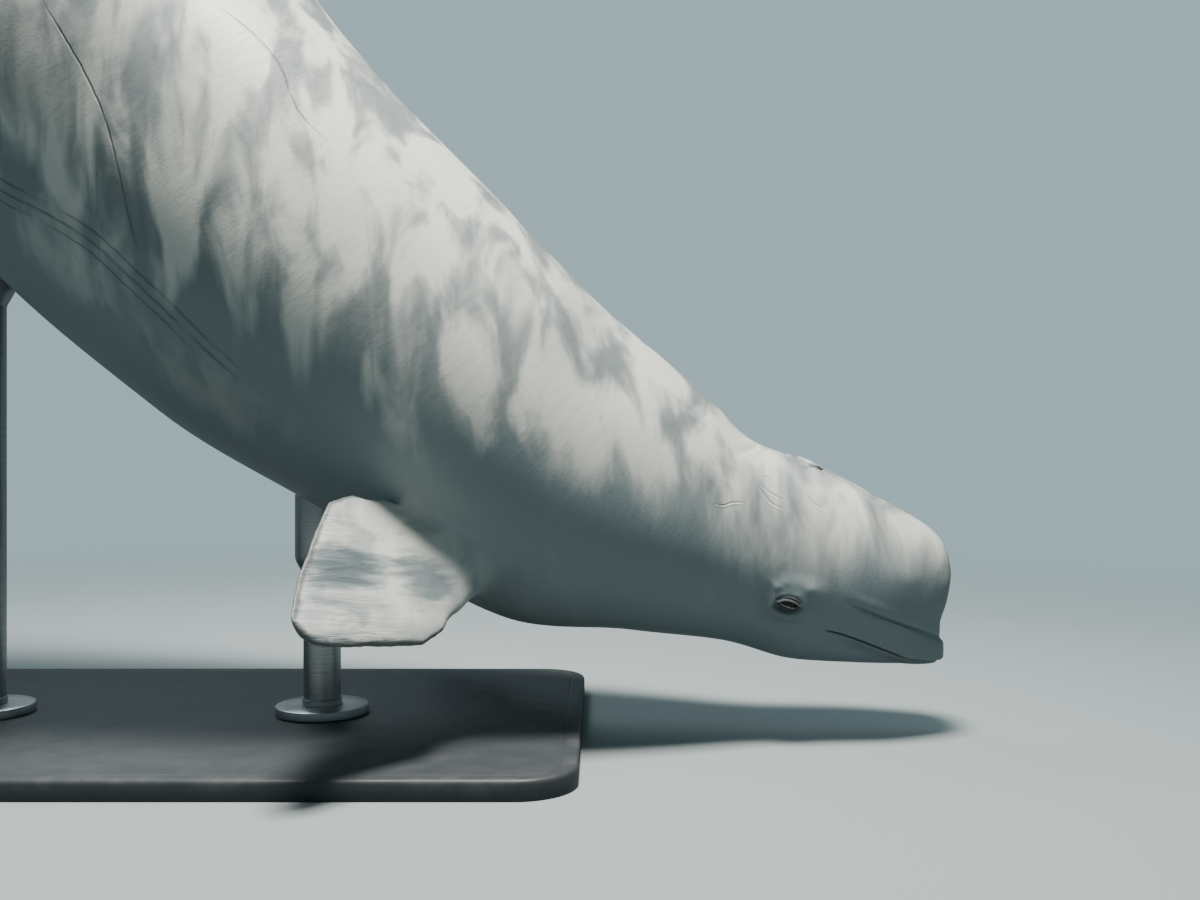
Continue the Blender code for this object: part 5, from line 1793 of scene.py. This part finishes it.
@dataclass
class Studio:
    """The pale floor, the lights and the camera."""

    floor: Colour = (0.40, 0.46, 0.47)
    floor_bounce: Colour = (0.11, 0.14, 0.15)
    air: Colour = (0.40, 0.56, 0.60)
    air_light: float = 0.24
    air_seen: float = 0.95
    camera: tuple[float, float, float] = (0.885, -2.349, 0.549)

    def air_strength(self, make: Nodes) -> bpy.types.NodeSocket:
        """How bright the air is: pale as a backdrop, dimmer as a light."""
        seen = make.add("ShaderNodeLightPath").outputs["Is Camera Ray"]
        return make.band(seen, 0.0, 1.0, self.air_light, self.air_seen)

    def build_floor(self) -> bpy.types.Object:
        """Lays the floor, which far off runs into the colour of the air."""
        deselect_all()
        bpy.ops.mesh.primitive_circle_add(vertices=96, radius=60.0, fill_type="NGON")
        piece = bpy.context.object
        piece.name = "studio_floor"
        look, make, shader = new_material("studio_floor")
        place = make.add("ShaderNodeTexCoord").outputs["Object"]
        seen = make.add("ShaderNodeLightPath").outputs["Is Camera Ray"]
        make.feed(shader.inputs["Base Color"], make.mix(seen, self.floor_bounce, self.floor))
        shader.inputs["Roughness"].default_value = 0.8
        glow = make.add("ShaderNodeEmission", {"Color": (*self.air, 1.0)})
        make.feed(glow.inputs["Strength"], self.air_strength(make))
        far = make.add("ShaderNodeVectorMath", operation="LENGTH")
        make.feed(far.inputs[0], place)
        share = make.band(far.outputs["Value"], 0.8, 5.0)
        joined = make.add("ShaderNodeMixShader")
        make.feed(joined.inputs[0], share)
        make.feed(joined.inputs[1], shader.outputs[0])
        make.feed(joined.inputs[2], glow.outputs[0])
        make.feed(look.node_tree.nodes["Material Output"].inputs["Surface"], joined.outputs[0])
        piece.data.materials.append(look)
        return piece

    def light(self, name: str, place: Colour, aim: Colour, size: float, power: float, colour: Colour) -> None:
        """Hangs one soft square light.

        Args:
            name: Its name.
            place: Where it hangs.
            aim: What it points at.
            size: Its side, in metres.
            power: Its power in watts.
            colour: Its colour.
        """
        data = bpy.data.lights.new(name, "AREA")
        data.shape = "SQUARE"
        data.size, data.energy, data.color = size, power, colour
        lamp = bpy.data.objects.new(name, data)
        bpy.context.scene.collection.objects.link(lamp)
        way = np.array(aim) - np.array(place)
        lamp.location = place
        flat = math.hypot(way[0], way[1])
        lamp.rotation_euler = (math.atan2(flat, -way[2]), 0.0, math.atan2(way[1], way[0]) - math.pi / 2)

    def build(self) -> None:
        """Sets up floor, air, lights and camera."""
        self.build_floor()
        world = bpy.data.worlds.new("studio_air")
        world.use_nodes = True
        make = Nodes(world.node_tree)
        sky = world.node_tree.nodes["Background"]
        sky.inputs["Color"].default_value = (*self.air, 1.0)
        make.feed(sky.inputs["Strength"], self.air_strength(make))
        bpy.context.scene.world = world
        self.light("key", (0.9, -0.95, 4.9), (0.3, 0.0, 0.8), 1.1, 470.0, (1.0, 0.97, 0.90))
        self.light("back", (-1.2, 2.8, 4.0), (0.0, 0.0, 1.2), 2.0, 60.0, (0.80, 0.94, 1.0))
        data = bpy.data.cameras.new("camera")
        data.lens, data.sensor_width = 36.0, 36.0
        camera = bpy.data.objects.new("camera", data)
        bpy.context.scene.collection.objects.link(camera)
        camera.location = self.camera
        camera.rotation_euler = (math.pi / 2, 0.0, 0.0)
        bpy.context.scene.camera = camera


def main() -> None:
    """Builds the studio and the model, piece by piece."""
    logging.basicConfig(level=logging.INFO, format="%(message)s")
    Studio().build()
    effects = SharedEffects()
    whale = Whale()
    skin = Skin(whale, SkinFinish()).build(effects)
    LOG.info("%s: %d faces", skin.name, len(skin.data.polygons))
    for piece in Eyes(whale, EyeFinish()).build():
        LOG.info("%s: %d faces", piece.name, len(piece.data.polygons))
    for piece in Stand().build(PaintFinish(), SteelFinish(), effects):
        LOG.info("%s: %d faces", piece.name, len(piece.data.polygons))


if __name__ == "__main__":
    main()
